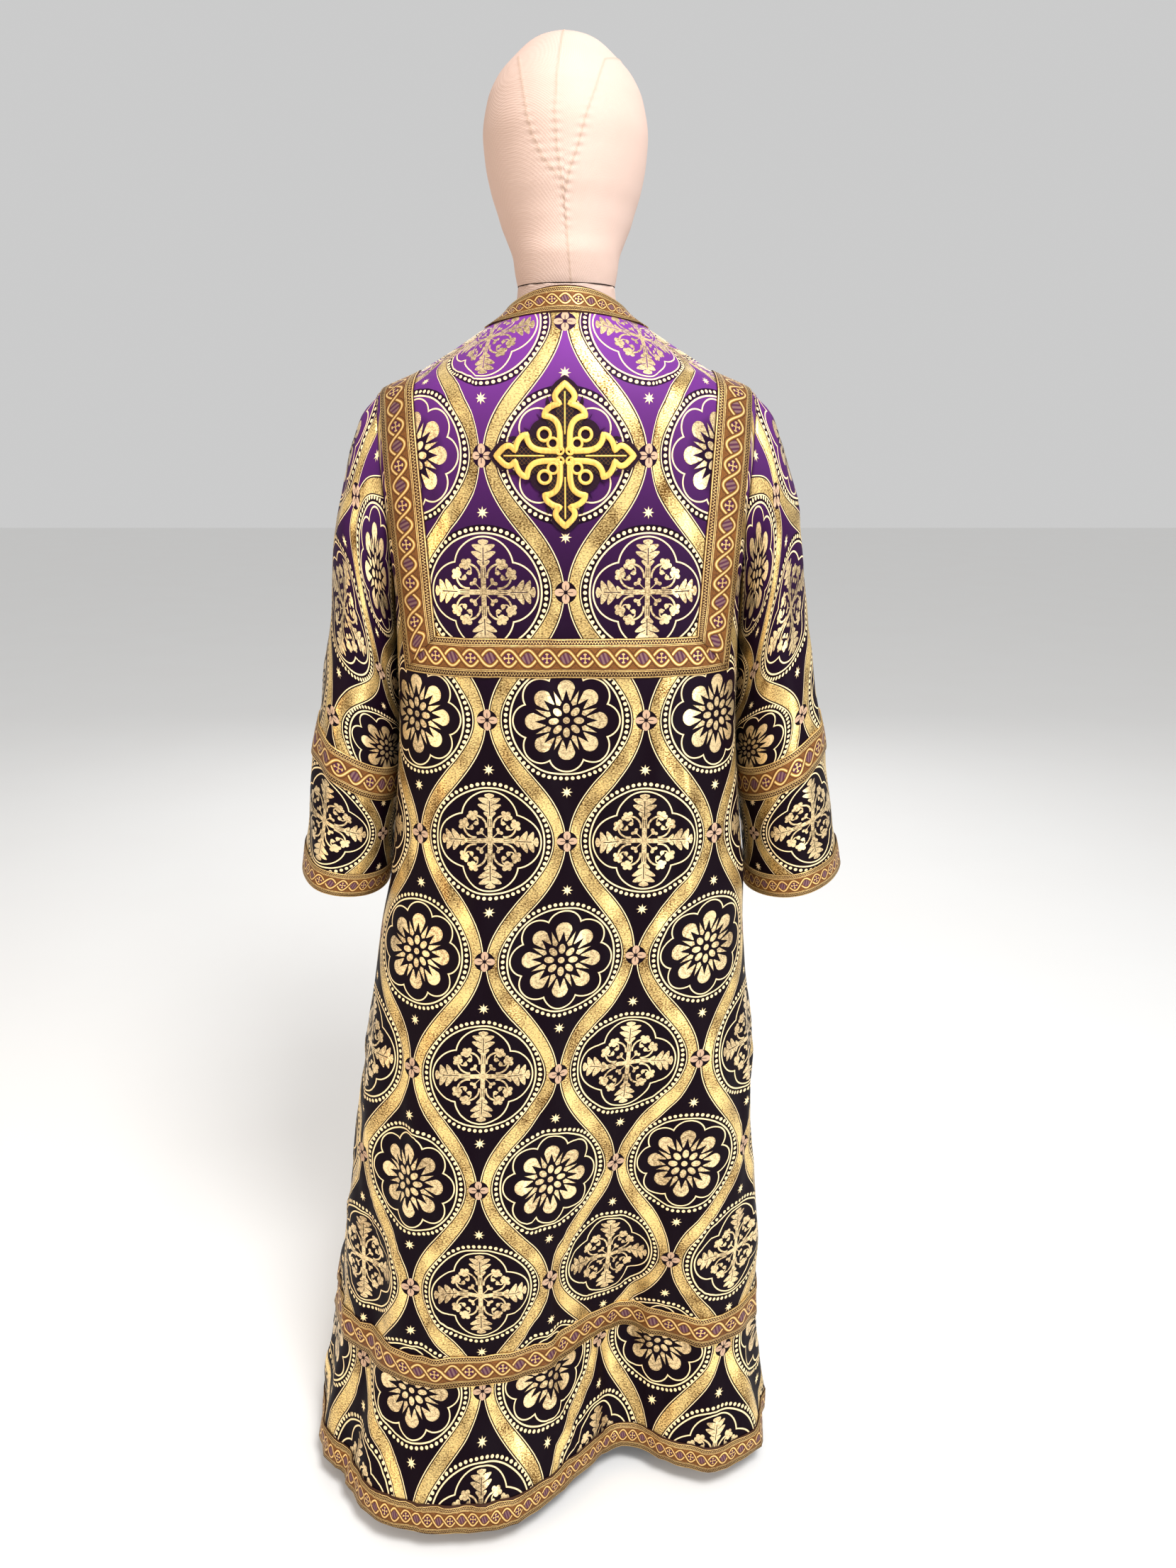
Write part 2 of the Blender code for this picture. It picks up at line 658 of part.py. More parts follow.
def disc(name, x, z, radius, thickness):
    """A short upright cylinder that faces -Y, as a cutter."""
    mesh = bmesh.new()
    bmesh.ops.create_cone(
        mesh, cap_ends=True, segments=DISC_SIDES, radius1=radius, radius2=radius, depth=thickness)
    for vert in mesh.verts:
        vert.co = (vert.co.x + x, vert.co.z, z - vert.co.y)
    bmesh.ops.recalc_face_normals(mesh, faces=mesh.faces[:])
    data = bpy.data.meshes.new(name)
    mesh.to_mesh(data)
    mesh.free()
    thing = bpy.data.objects.new(name, data)
    CUTTERS.objects.link(thing)
    return thing


def combine(thing, tool, operation):
    """Apply a Boolean of one mesh object with another, and drop the tool."""
    modifier = thing.modifiers.new(operation.lower(), "BOOLEAN")
    modifier.operation = operation
    modifier.object = tool
    bpy.context.view_layer.update()
    graph = bpy.context.evaluated_depsgraph_get()
    thing.data = bpy.data.meshes.new_from_object(thing.evaluated_get(graph))
    thing.modifiers.clear()
    bpy.data.objects.remove(tool)


def drape(name, plate, lift, thickness, finish):
    """Cut a flat plate into small cells and lay it over the back of the yoke."""
    mesh = bmesh.new()
    mesh.from_mesh(plate.data)
    bpy.data.objects.remove(plate)
    bmesh.ops.dissolve_limit(mesh, angle_limit=FLAT_ANGLE, verts=mesh.verts[:], edges=mesh.edges[:])
    for axis in ((1, 0, 0), (0, 0, 1)):
        for step in range(-CROSS_CELLS, CROSS_CELLS + 1):
            point = [step * CROSS_CELL * a for a in axis]
            everything = mesh.verts[:] + mesh.edges[:] + mesh.faces[:]
            bmesh.ops.bisect_plane(mesh, geom=everything, plane_co=point, plane_no=axis, dist=0.00002)
    bmesh.ops.triangulate(mesh, faces=mesh.faces[:])
    for vert in mesh.verts:
        x, raised, up = vert.co.x, thickness / 2 - vert.co.y, vert.co.z + CROSS_UP
        y = float(surface_y(x, up, BACK)) - lift - raised
        vert.co = place((x, y, up))
    bmesh.ops.recalc_face_normals(mesh, faces=mesh.faces[:])
    make_object(name, mesh, finish)


def build_cross():
    """The felt ground of the cross and the gold work on it."""
    outline = cross_outline()
    corners = [(x, z) for x in (-1, 1) for z in (-1, 1)]
    loops = [(x * loop.place, z * loop.place, loop) for x, z in corners for loop in CROSS_LOOPS]
    felt = flat_plate("felt_plate", grow_outline(outline, FELT_MARGIN), FELT_THICK)
    gold = flat_plate("gold_plate", outline, GOLD_THICK)
    for x, z, loop in loops:
        combine(felt, disc("felt_disc", x, z, loop.outer + FELT_MARGIN, FELT_THICK), "UNION")
        combine(gold, disc("gold_disc", x, z, loop.outer, GOLD_THICK), "UNION")
    for x, z, loop in loops:
        combine(gold, disc("gold_hole", x, z, loop.hole, 3 * GOLD_THICK), "DIFFERENCE")
    drape("cross_felt", felt, DRAPED_GAP, FELT_THICK, "felt")
    drape("cross_gold", gold, DRAPED_GAP + FELT_THICK + TRIM_GAP, GOLD_THICK, "gold_work")


def build_torso():
    """The dress form: the cloth's own points moved inward, with flat arm ends and a neck."""
    mesh = bmesh.new()
    for side in (BACK, FRONT):
        points = panel_points(side, NECK_TOP)
        normals = panel_normals(points, side)
        inner = points[TORSO_FOOT_ROW:]
        near_neck = np.clip((NECK_CLEAR - np.abs(inner[..., :1])) / NECK_RADIUS, 0, 1)
        depth = INSET(inner[..., 2:3]) + NECK_INSET * near_neck
        inner = inner - normals[TORSO_FOOT_ROW:] * depth
        inner[0, :, 2] = LOW_ROWS[TORSO_FOOT_ROW]
        add_sheet(mesh, inner)
    split_cells(mesh)
    bmesh.ops.remove_doubles(mesh, verts=mesh.verts[:], dist=WELD)
    open_edges = [edge for edge in mesh.edges if edge.is_boundary]
    neck = [edge for edge in open_edges if is_neck_edge(edge)]
    for share in (0.6, 1.0):
        neck = raise_neck(mesh, neck, share)
    open_edges = [edge for edge in mesh.edges if edge.is_boundary]
    bmesh.ops.holes_fill(mesh, edges=open_edges, sides=0)
    bmesh.ops.triangulate(mesh, faces=mesh.faces[:], quad_method="SHORT_EDGE")
    bmesh.ops.recalc_face_normals(mesh, faces=mesh.faces[:])
    make_object("form_torso", mesh, "linen")


def is_neck_edge(edge):
    """Whether an open edge of the form lies round its neck."""
    low = HEM_HEIGHT + NECK_TOP - NECK_TRIM_WIDTH
    return all(v.co.z > low and abs(v.co.x) < NECK_HALF + SEAM_GAP for v in edge.verts)


def raise_neck(mesh, edges, share):
    """Draw the neck's open edge up towards the cut of the neck, and in to its radius."""
    grown = bmesh.ops.extrude_edge_only(mesh, edges=edges)["geom"]
    top = HEM_HEIGHT + NECK_CUT
    for vert in grown:
        if isinstance(vert, bmesh.types.BMVert):
            x, y = vert.co.x, vert.co.y - BODY_Y
            size = math.hypot(x, y)
            pull = share ** 0.6
            x += (x / size * NECK_RADIUS - x) * pull
            y += (y / size * NECK_RADIUS - y) * pull
            vert.co = (x, y + BODY_Y, vert.co.z + (top - vert.co.z) * share)
    return [edge for edge in grown if isinstance(edge, bmesh.types.BMEdge)]


def build_head():
    """The egg-shaped head, cut flat where it meets the neck."""
    mesh = bmesh.new()
    count = len(HEAD)
    bmesh.ops.create_uvsphere(mesh, u_segments=HEAD_SIDES, v_segments=count, radius=1.0)
    for vert in mesh.verts:
        ring = round(math.acos(max(-1, min(1, -vert.co.z))) / math.pi * count)
        row = HEAD[max(ring - 1, 0)]
        size = math.hypot(vert.co.x, vert.co.y)
        across = vert.co.x / size if ring not in (0, count) else 0
        deep = vert.co.y / size if ring not in (0, count) else 0
        vert.co = place((across * row.breadth, deep * row.depth + row.centre, row.up + HEAD_GAP))
    bmesh.ops.recalc_face_normals(mesh, faces=mesh.faces[:])
    make_object("form_head", mesh, "linen")


def build_stand():
    """The pole under the form and the round foot on the floor."""
    bottom = FOOT_THICK + SEAM_GAP
    top = HEM_HEIGHT + LOW_ROWS[TORSO_FOOT_ROW] - SEAM_GAP
    bpy.ops.mesh.primitive_cylinder_add(
        vertices=POLE_SIDES, radius=POLE_RADIUS, depth=top - bottom, location=(0, 0, (top + bottom) / 2))
    adopt("stand_pole")
    bpy.ops.mesh.primitive_cylinder_add(
        vertices=FOOT_SIDES, radius=FOOT_RADIUS, depth=FOOT_THICK, location=(0, 0, FOOT_THICK / 2))
    foot = adopt("stand_foot")
    edge = foot.modifiers.new("edge", "BEVEL")
    edge.width = FOOT_BEVEL
    edge.limit_method = "ANGLE"


def adopt(name):
    """Name the primitive that was just added and move it into the part's collection."""
    thing = bpy.context.object
    for group in thing.users_collection:
        group.objects.unlink(thing)
    thing.name = name
    return finish_object(thing, "painted_steel")


def build_garment():
    """The panels, sleeves and galloons, each galloon made from the cloth's own points."""
    grids = {}
    for side, name in ((BACK, "back_panel"), (FRONT, "front_panel")):
        points = panel_points(side)
        normals = panel_normals(points, side)
        grids[side] = (points, normals)
        cloth_wall(name, [(open_seams(points, side), -normals * WALL)], "brocade")
    for name, (low, high) in (("lower_trim", LOWER_TRIM_ROWS), ("hem_trim", HEM_TRIM_ROWS)):
        trim(name, [[grid[low:high + 1] for grid in pair] for pair in grids.values()])
    for half, hand in ((-1, "left"), (1, "right")):
        strips = []
        for side, (points, normals) in grids.items():
            strip = mitre_side(yoke_side_strip(points, side, half), half)
            strips.append((strip, yoke_side_strip(normals, side, half)))
        trim("yoke_trim_" + hand, strips)
        build_sleeve(half, hand)
    for side, name in ((BACK, "yoke_trim_back"), (FRONT, "yoke_trim_front")):
        points, normals = grids[side]
        trim(name, [(mitre_foot(yoke_foot_strip(points, side)), yoke_foot_strip(normals, side))])
    trim("neck_trim", [[neck_trim_cells(grid, side) for grid in pair] for side, pair in grids.items()])


def build_sleeve(half, hand):
    """One sleeve with its upper galloon and its cuff galloon."""
    points = sleeve_points(half)
    normals = sleeve_normals(points, half)
    cloth_wall("sleeve_" + hand, [(points, -normals * WALL)], "brocade")
    for name, (first, last) in (("sleeve_trim_", SLEEVE_TRIM_ROWS), ("cuff_trim_", CUFF_TRIM_ROWS)):
        trim(name + hand, [(points[first:last + 1], normals[first:last + 1])])


for old in list(bpy.data.objects):
    bpy.data.objects.remove(old)
PARTS = bpy.data.collections.new("dalmatic")
CUTTERS = bpy.data.collections.new("cutters")
bpy.context.scene.collection.children.link(PARTS)
bpy.context.scene.collection.children.link(CUTTERS)

build_garment()
build_cross()
build_torso()
build_head()
build_stand()
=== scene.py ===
"""Looks for a brocade dalmatic on a limbless dress form, seen from behind.

Metres, +Z up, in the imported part's frame: the back of the garment faces -Y and the wearer's
right side is at +X. A height called "up" is measured from the hem. Cloth pieces carry a UV
map in metres, which the woven patterns read. Patterns are worked out in centimetres.
"""

import json
import logging
import math
from dataclasses import dataclass, field, fields
from enum import Enum
from typing import Callable, Iterable, Optional, Union

import bmesh
import bpy
import numpy as np
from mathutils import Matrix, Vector, noise

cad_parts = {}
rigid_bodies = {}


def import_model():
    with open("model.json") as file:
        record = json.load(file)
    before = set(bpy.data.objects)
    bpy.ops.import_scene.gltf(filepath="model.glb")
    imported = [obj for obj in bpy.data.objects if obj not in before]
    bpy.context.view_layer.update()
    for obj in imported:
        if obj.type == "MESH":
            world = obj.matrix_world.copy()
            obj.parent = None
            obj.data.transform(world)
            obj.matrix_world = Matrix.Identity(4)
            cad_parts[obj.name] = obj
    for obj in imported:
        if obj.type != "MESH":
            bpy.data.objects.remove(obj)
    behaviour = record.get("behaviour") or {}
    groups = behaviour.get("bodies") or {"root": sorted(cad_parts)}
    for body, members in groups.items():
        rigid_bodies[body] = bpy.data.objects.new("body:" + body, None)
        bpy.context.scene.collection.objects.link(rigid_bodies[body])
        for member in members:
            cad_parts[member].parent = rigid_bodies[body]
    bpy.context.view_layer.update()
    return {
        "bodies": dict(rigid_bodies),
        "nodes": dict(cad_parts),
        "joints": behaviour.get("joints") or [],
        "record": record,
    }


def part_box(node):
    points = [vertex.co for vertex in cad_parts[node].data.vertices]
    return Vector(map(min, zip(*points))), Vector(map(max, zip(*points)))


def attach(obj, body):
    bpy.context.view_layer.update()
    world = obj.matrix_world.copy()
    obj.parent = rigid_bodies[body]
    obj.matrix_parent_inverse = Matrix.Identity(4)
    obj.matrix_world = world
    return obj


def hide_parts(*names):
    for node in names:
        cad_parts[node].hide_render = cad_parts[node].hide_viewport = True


LOG = logging.getLogger("dalmatic")
HEM_HEIGHT = 0.030
BODY_Y = -0.012
CM = 100.0
WELD = 0.00001
CLOTH_WALL = 0.0020
GALLOON_WALL = 0.0012
GALLOON_GAP = 0.0003

Array = np.ndarray
Pair = tuple[float, float]
Triple = tuple[float, float, float]
Mesh = bmesh.types.BMesh
Socket = bpy.types.NodeSocket
Material = bpy.types.Material
NodeTree = bpy.types.NodeTree
Curve = Callable[[Union[float, Array]], Array]


class Side(Enum):
    """The two panels."""

    BACK = -1
    FRONT = 1


class Hand(Enum):
    """The wearer's two sides, by their way along X."""

    LEFT = -1
    RIGHT = 1


# Numbers and curves


def smooth_curve(knots: Iterable[float], values: Iterable[float]) -> Curve:
    """A monotone cubic through a table, which never overshoots its rows.

    Args:
        knots: Places in rising order.
        values: The value at each place.

    Returns:
        A function from a place, or an array of places, to the value there.
    """
    knots = np.asarray(list(knots), float)
    values = np.asarray(list(values), float)
    step = np.diff(knots)
    slope = np.diff(values) / step
    tangent = np.zeros(len(knots))
    for i in range(1, len(knots) - 1):
        if slope[i - 1] * slope[i] > 0:
            near = 2 * step[i] + step[i - 1]
            far = step[i] + 2 * step[i - 1]
            tangent[i] = (near + far) / (near / slope[i - 1] + far / slope[i])
    tangent[0] = slope[0]
    tangent[-1] = slope[-1]

    def read(place: Union[float, Array]) -> Array:
        """The value at a place."""
        place = np.clip(place, knots[0], knots[-1])
        i = np.clip(np.searchsorted(knots, place, side="right") - 1, 0, len(knots) - 2)
        s = (place - knots[i]) / step[i]
        rise = values[i] * (1 + 2 * s) * (1 - s) ** 2 + values[i + 1] * s * s * (3 - 2 * s)
        return rise + step[i] * s * (1 - s) * (tangent[i] * (1 - s) - tangent[i + 1] * s)

    return read


def cell_normals(points: Array, closed: bool = False) -> Array:
    """Directions at the points of a grid, each the mean of those of the cells round it.

    Args:
        points: A grid of points, rows by columns.
        closed: Whether the last column repeats the first.

    Returns:
        A unit direction for each point.
    """
    cells = np.cross(points[1:, 1:] - points[:-1, :-1], points[1:, :-1] - points[:-1, 1:])
    cells /= np.linalg.norm(cells, axis=2, keepdims=True) + 1e-12
    total = np.zeros_like(points)
    for rows in (slice(None, -1), slice(1, None)):
        for columns in (slice(None, -1), slice(1, None)):
            total[rows, columns] += cells
    if closed:
        total[:, 0] += total[:, -1]
        total[:, -1] = total[:, 0]
    return total / np.linalg.norm(total, axis=2, keepdims=True)


def cloth_area(grids: Iterable["ClothGrid"]) -> float:
    """Area of the cloth in some grids, in square metres.

    Args:
        grids: The grids.

    Returns:
        The area.
    """
    total = 0.0
    for grid in grids:
        corner = grid.points[:-1, :-1]
        cells = np.cross(grid.points[1:, :-1] - corner, grid.points[:-1, 1:] - corner)
        total += float(np.linalg.norm(cells, axis=2).sum())
    return total


def lengths_along(points: Array, axis: int) -> Array:
    """Length run along a grid's rows (axis 1) or columns (axis 0), from the first point."""
    steps = np.linalg.norm(np.diff(points, axis=axis), axis=2)
    start = np.zeros_like(np.take(steps, [0], axis=axis))
    return np.cumsum(np.concatenate([start, steps], axis=axis), axis=axis)


def ramp(place: Array, low: float, high: float) -> Array:
    """A smooth change from 0 at one place to 1 at another."""
    share = np.clip((place - low) / (high - low), 0, 1)
    return share * share * (3 - 2 * share)


def ripples(points: Array, scale: Triple, seed: float) -> Array:
    """Smooth noise from 0 to 1 at the points of a grid, the same wherever two pieces meet.

    Args:
        points: The grid's points.
        scale: Lumps in a metre along X, Y and Z.
        seed: Moves the noise.

    Returns:
        A number for each point.
    """
    places = (points * np.array(scale) + seed).reshape(-1, 3)
    values = [noise.noise(Vector(place)) for place in places]
    return np.clip(np.array(values).reshape(points.shape[:2]) + 0.5, 0, 1)


def slide(line: Array, places: Array, wanted: Array) -> Array:
    """The points of a line, read at other places along it."""
    return np.stack([np.interp(wanted, places, line[:, k]) for k in range(3)], 1)


# The shape of the garment


@dataclass(frozen=True)
class Section:
    """A slice of the body: half-breadths, depths, and how square the slice is."""

    up: float
    left: float
    right: float
    back: float
    front: float
    flatness: float
    roundness: float


@dataclass(frozen=True)
class Fold:
    """A soft fold of the skirt: where it lies, half its spread, its depth at the hem, its top."""

    turn: float
    spread: float
    depth: float
    top: float


@dataclass(frozen=True)
class Ring:
    """A ring of a sleeve: outer and inner point, half its depth, its swing to the front."""

    outer_x: float
    outer_up: float
    inner_up: float
    depth: float
    swing: float


@dataclass(frozen=True)
class Columns:
    """The columns of half a panel, from the centre line to the side seam.

    Args:
        number: Each column's place among the main columns.
        start: Its breadth in the yoke, up to the outer edge of the yoke galloon.
        share: How far it lies from that edge to the side seam, from 0 to 1.
    """

    number: Array
    start: Array
    share: Array


@dataclass(frozen=True)
class BodyShape:
    """The outside of the cloth, from the same sizes as the part's solids."""

    sections: tuple[Section, ...] = (
        Section(0.000, 0.292, 0.270, 0.183, 0.155, 2.4, 0.42),
        Section(0.150, 0.275, 0.257, 0.130, 0.145, 2.5, 0.40),
        Section(0.350, 0.246, 0.246, 0.136, 0.135, 2.7, 0.38),
        Section(0.600, 0.222, 0.222, 0.127, 0.125, 3.0, 0.34),
        Section(0.800, 0.199, 0.197, 0.122, 0.122, 3.1, 0.32),
        Section(0.940, 0.188, 0.187, 0.120, 0.122, 3.2, 0.32),
        Section(1.050, 0.187, 0.187, 0.120, 0.124, 3.2, 0.33),
        Section(1.120, 0.195, 0.195, 0.120, 0.122, 3.0, 0.36),
        Section(1.200, 0.2035, 0.2035, 0.119, 0.112, 2.8, 0.42),
        Section(1.258, 0.200, 0.200, 0.112, 0.098, 2.5, 0.52),
        Section(1.287, 0.145, 0.145, 0.104, 0.090, 2.2, 0.62),
        Section(1.316, 0.100, 0.100, 0.090, 0.078, 2.1, 0.62),
        Section(1.343, 0.061, 0.061, 0.071, 0.060, 2.0, 0.56),
        Section(1.361, 0.052, 0.052, 0.061, 0.054, 2.0, 0.50),
        Section(1.380, 0.045, 0.045, 0.055, 0.048, 2.0, 0.50),
    )
    drift_ups: tuple[float, ...] = (0.000, 0.273, 0.406, 0.538, 0.671, 0.750, 1.380)
    drift_centres: tuple[float, ...] = (-0.030, -0.0237, -0.0212, -0.0127, -0.0074, 0.0, 0.0)
    folds: tuple[Fold, ...] = (
        Fold(-27, 60, 0.084, 0.80), Fold(19, 28, -0.052, 0.62), Fold(55, 37, 0.039, 0.60),
        Fold(-48, 11, -0.015, 0.75), Fold(128, 30, 0.035, 0.70), Fold(168, 26, -0.030, 0.60),
        Fold(-146, 34, 0.040, 0.70),
    )
    fold_growth: float = 0.95
    yoke_foot: float = 0.981
    yoke_trim_top: float = 1.022
    armpit: float = 1.050
    shoulder_tip: float = 1.258
    fan_height: float = 0.350
    neck_half: float = 0.061
    neck_top: float = 1.343
    neck_back: float = 1.361
    neck_front: float = 1.225
    neck_squareness: float = 1.5
    neck_trim_width: float = 0.026
    neck_fan: dict[Side, Pair] = field(
        default_factory=lambda: {Side.BACK: (1.4, 0.0), Side.FRONT: (2.2, 0.022)})
    yoke_columns: tuple[float, ...] = (0.0847, 0.1083, 0.1320, 0.1720)
    lean_level: float = 1.0
    yoke_lean: float = 0.070
    outer_cells: int = 4
    armhole_depth: float = 0.059
    arm_step: float = 18.0
    outline_points: int = 361
    ridge_points: int = 400
    curves: dict = field(default_factory=dict)

    def __post_init__(self) -> None:
        """Work out a smooth curve over height for each column of the tables."""
        ups = [s.up for s in self.sections]
        for name in ("left", "right", "back", "front", "flatness", "roundness"):
            self.curves[name] = smooth_curve(ups, [getattr(s, name) for s in self.sections])
        self.curves["centre"] = smooth_curve(self.drift_ups, self.drift_centres)
        ridge_ups = np.linspace(self.shoulder_tip, self.sections[-1].up, self.ridge_points)
        self.curves["ridge"] = (self.curves["right"](ridge_ups)[::-1], ridge_ups[::-1])

    @property
    def trim_rise(self) -> float:
        """Share of the armhole's rise at the lower edge of the neck galloon."""
        return (1 + math.sin(math.radians(90 - self.arm_step))) / 2

    def neck_cells(self, side: Side) -> int:
        """Number of main columns from the centre line to the shoulder end of the neck."""
        return 4 if side is Side.BACK else 6

    def half_breadth(self, up: float, half: int) -> float:
        """Half-breadth of the body on one half, -1 or 1, at a height."""
        return self.curves["right" if half > 0 else "left"](up)

    def side_depth(self, up: float, side: Side) -> float:
        """Depth of the back or the front at a height."""
        return self.curves["back" if side is Side.BACK else "front"](up)

    def ridge_up(self, x: float) -> float:
        """Height of the shoulder line at a breadth."""
        xs, ups = self.curves["ridge"]
        return float(np.interp(abs(x), xs, ups))

    def surface_y(self, x: float, up: float, side: Side) -> float:
        """Depth of the unfolded cloth at a place in the yoke.

        Args:
            x: The place's x.
            up: Its height.
            side: Back or front.

        Returns:
            Its y.
        """
        share = np.clip(abs(x) / self.half_breadth(up, x), 0, 1)
        curve = (1 - share ** self.curves["flatness"](up)) ** self.curves["roundness"](up)
        return float(side.value * self.side_depth(up, side) * curve)

    def fold_lift(self, turn: Array, up: float) -> Array:
        """How far the folds push the skirt out.

        Args:
            turn: Angles round the skirt, in degrees from the middle of the back.
            up: A height.

        Returns:
            A distance for each angle, in metres.
        """
        lift = np.zeros_like(turn)
        for fold in self.folds:
            if up < fold.top:
                away = (turn - fold.turn + 180) % 360 - 180
                share = np.clip(np.abs(away) / fold.spread, 0, 1)
                growth = ((fold.top - up) / fold.top) ** self.fold_growth
                lift += fold.depth * growth * np.cos(share * math.pi / 2) ** 2
        return lift

    def half_outline(self, up: float, side: Side, half: int) -> tuple[Array, Array, Array]:
        """The folded slice from the centre line to one side seam.

        Args:
            up: Height of the slice.
            side: Back or front.
            half: -1 or 1.

        Returns:
            The points' x, their y, and the length run to each.
        """
        angle = np.linspace(0, 90, self.outline_points)
        share = np.sin(np.radians(angle))
        x = self.curves["centre"](up) + half * self.half_breadth(up, half) * share
        curve = (1 - share ** self.curves["flatness"](up)) ** self.curves["roundness"](up)
        y = side.value * self.side_depth(up, side) * curve
        along = np.stack([np.gradient(x), np.gradient(y)])
        along /= np.linalg.norm(along, axis=0)
        out = np.stack([-along[1], along[0]]) * side.value * half
        out[:, 0] = (0, side.value)
        out[:, -1] = (half, 0)
        turn = half * (angle if side is Side.BACK else 180 - angle)
        x, y = np.stack([x, y]) + out * self.fold_lift(turn, up)
        run = np.concatenate([[0], np.cumsum(np.hypot(np.diff(x), np.diff(y)))])
        return x, y, run

    def seam_x(self, up: float, half: int) -> float:
        """Where the side seam lies at a height."""
        return float(self.half_outline(up, Side.BACK, half)[0][-1])

    def columns(self, side: Side, fine: int = 5) -> Columns:
        """The columns of half a panel, each main cell cut into a number of fine ones.

        Args:
            side: Back or front.
            fine: Fine cells in each main cell.

        Returns:
            The columns, the main ones among them.
        """
        cells = self.neck_cells(side)
        main = [self.neck_half * i / cells for i in range(cells + 1)] + list(self.yoke_columns)
        last = len(main) - 1
        number = np.arange((last + self.outer_cells) * fine + 1) / fine
        start = np.interp(number, np.arange(last + 1), main)
        return Columns(number, start, np.clip((number - last) / self.outer_cells, 0, 1))

    def lean_share(self, x: Array) -> Array:
        """How much of the yoke's outward lean a column takes."""
        return np.clip((x - self.yoke_columns[0]) / (self.yoke_columns[2] - self.yoke_columns[0]), 0, 1)

    def low_row(self, up: float, side: Side, half: int, columns: Columns) -> Array:
        """One row below the armpit, from the centre line to the side seam.

        Args:
            up: Height of the row.
            side: Back or front.
            half: -1 or 1.
            columns: The columns of the half panel.

        Returns:
            Points, with the length run from the centre line as a fourth value.
        """
        x, y, run = self.half_outline(up, side, half)
        reach = np.maximum.accumulate(half * x)
        lean = self.yoke_lean * self.lean_share(columns.start) * (up - self.lean_level)
        yoke = np.interp(columns.start + lean, reach, run)
        yoke = yoke + (run[-1] - yoke) * columns.share
        even = run[-1] * columns.number / columns.number[-1]
        share = ramp(self.yoke_foot - up, 0, self.fan_height)
        places = yoke * (1 - share) + even * share
        row = [np.interp(places, run, x), np.interp(places, run, y), np.full(len(places), up), places]
        return np.stack(row, 1)

    def armhole_x(self, up: float, y: float) -> float:
        """Half-breadth of the armhole where it passes through a height and a depth.

        Args:
            up: The height.
            y: The depth, below 0 at the back.

        Returns:
            The half-breadth.
        """
        side = Side.BACK if y < 0 else Side.FRONT
        share = (abs(y) / self.side_depth(up, side)) ** (1 / self.curves["roundness"](up))
        flat = 1 / self.curves["flatness"](up)
        return float(self.half_breadth(up, 1) * (1 - min(share, 1)) ** flat)

    def neck_curve(self, side: Side, share: float, reach: float, end: float,
                   drop: float) -> Pair:
        """A point of a curve round the neck.

        Args:
            side: Back or front.
            share: How far round it is, from 0 on the centre line to 1 on the shoulder.
            reach: The curve's breadth on the shoulder.
            end: Its height there.
            drop: How far its middle lies under that of the neckline.

        Returns:
            The point's breadth and height.
        """
        if side is Side.BACK:
            angle = share * math.pi / 2
            foot = self.neck_back - drop
            return reach * math.sin(angle), foot + (end - foot) * math.sin(angle) ** 2
        angle = (1 - (1 - share) ** self.neck_squareness) * math.pi / 2
        foot = self.neck_front - drop
        return reach * math.sin(angle), end - (end - foot) * math.cos(angle)

    def neck_point(self, side: Side, share: float) -> Pair:
        """A point of the neckline, from the centre line at 0 to the shoulder seam at 1."""
        return self.neck_curve(side, share, self.neck_half, self.neck_top, 0.0)

    def neck_foot(self, side: Side, share: float) -> Pair:
        """A point of the neck galloon's lower edge, from the centre line to the shoulder."""
        reach = self.yoke_columns[0]
        return self.neck_curve(side, share, reach, self.ridge_up(reach), self.neck_trim_width)

    def neck_column(self, number: float, start: float, rise: float, side: Side) -> Pair:
        """A point of a column that meets the neck, at a share of the armhole's rise.

        Args:
            number: The column's number.
            start: Its breadth at the armpit's height.
            rise: Share of the armhole's rise, from 0 to 1.
            side: Back or front.

        Returns:
            The point's breadth and height.
        """
        cells = self.neck_cells(side)
        spread, bulge = self.neck_fan[side]
        foot_x, foot = self.neck_foot(side, number / (cells + spread))
        if rise <= self.trim_rise:
            share = rise / self.trim_rise
            swell = bulge * (number / (cells + 1)) ** 3 * math.sin(math.pi * share ** 1.5)
            return start + (foot_x - start) * share ** 3 + swell, self.armpit + (foot - self.armpit) * share
        top_x, top = self.neck_point(side, min(number / cells, 1))
        if number > cells:
            top_x += (self.yoke_columns[0] - top_x) * (number - cells)
            top = self.ridge_up(top_x)
        share = (rise - self.trim_rise) / (1 - self.trim_rise)
        return foot_x + (top_x - foot_x) * share, foot + (top - foot) * share

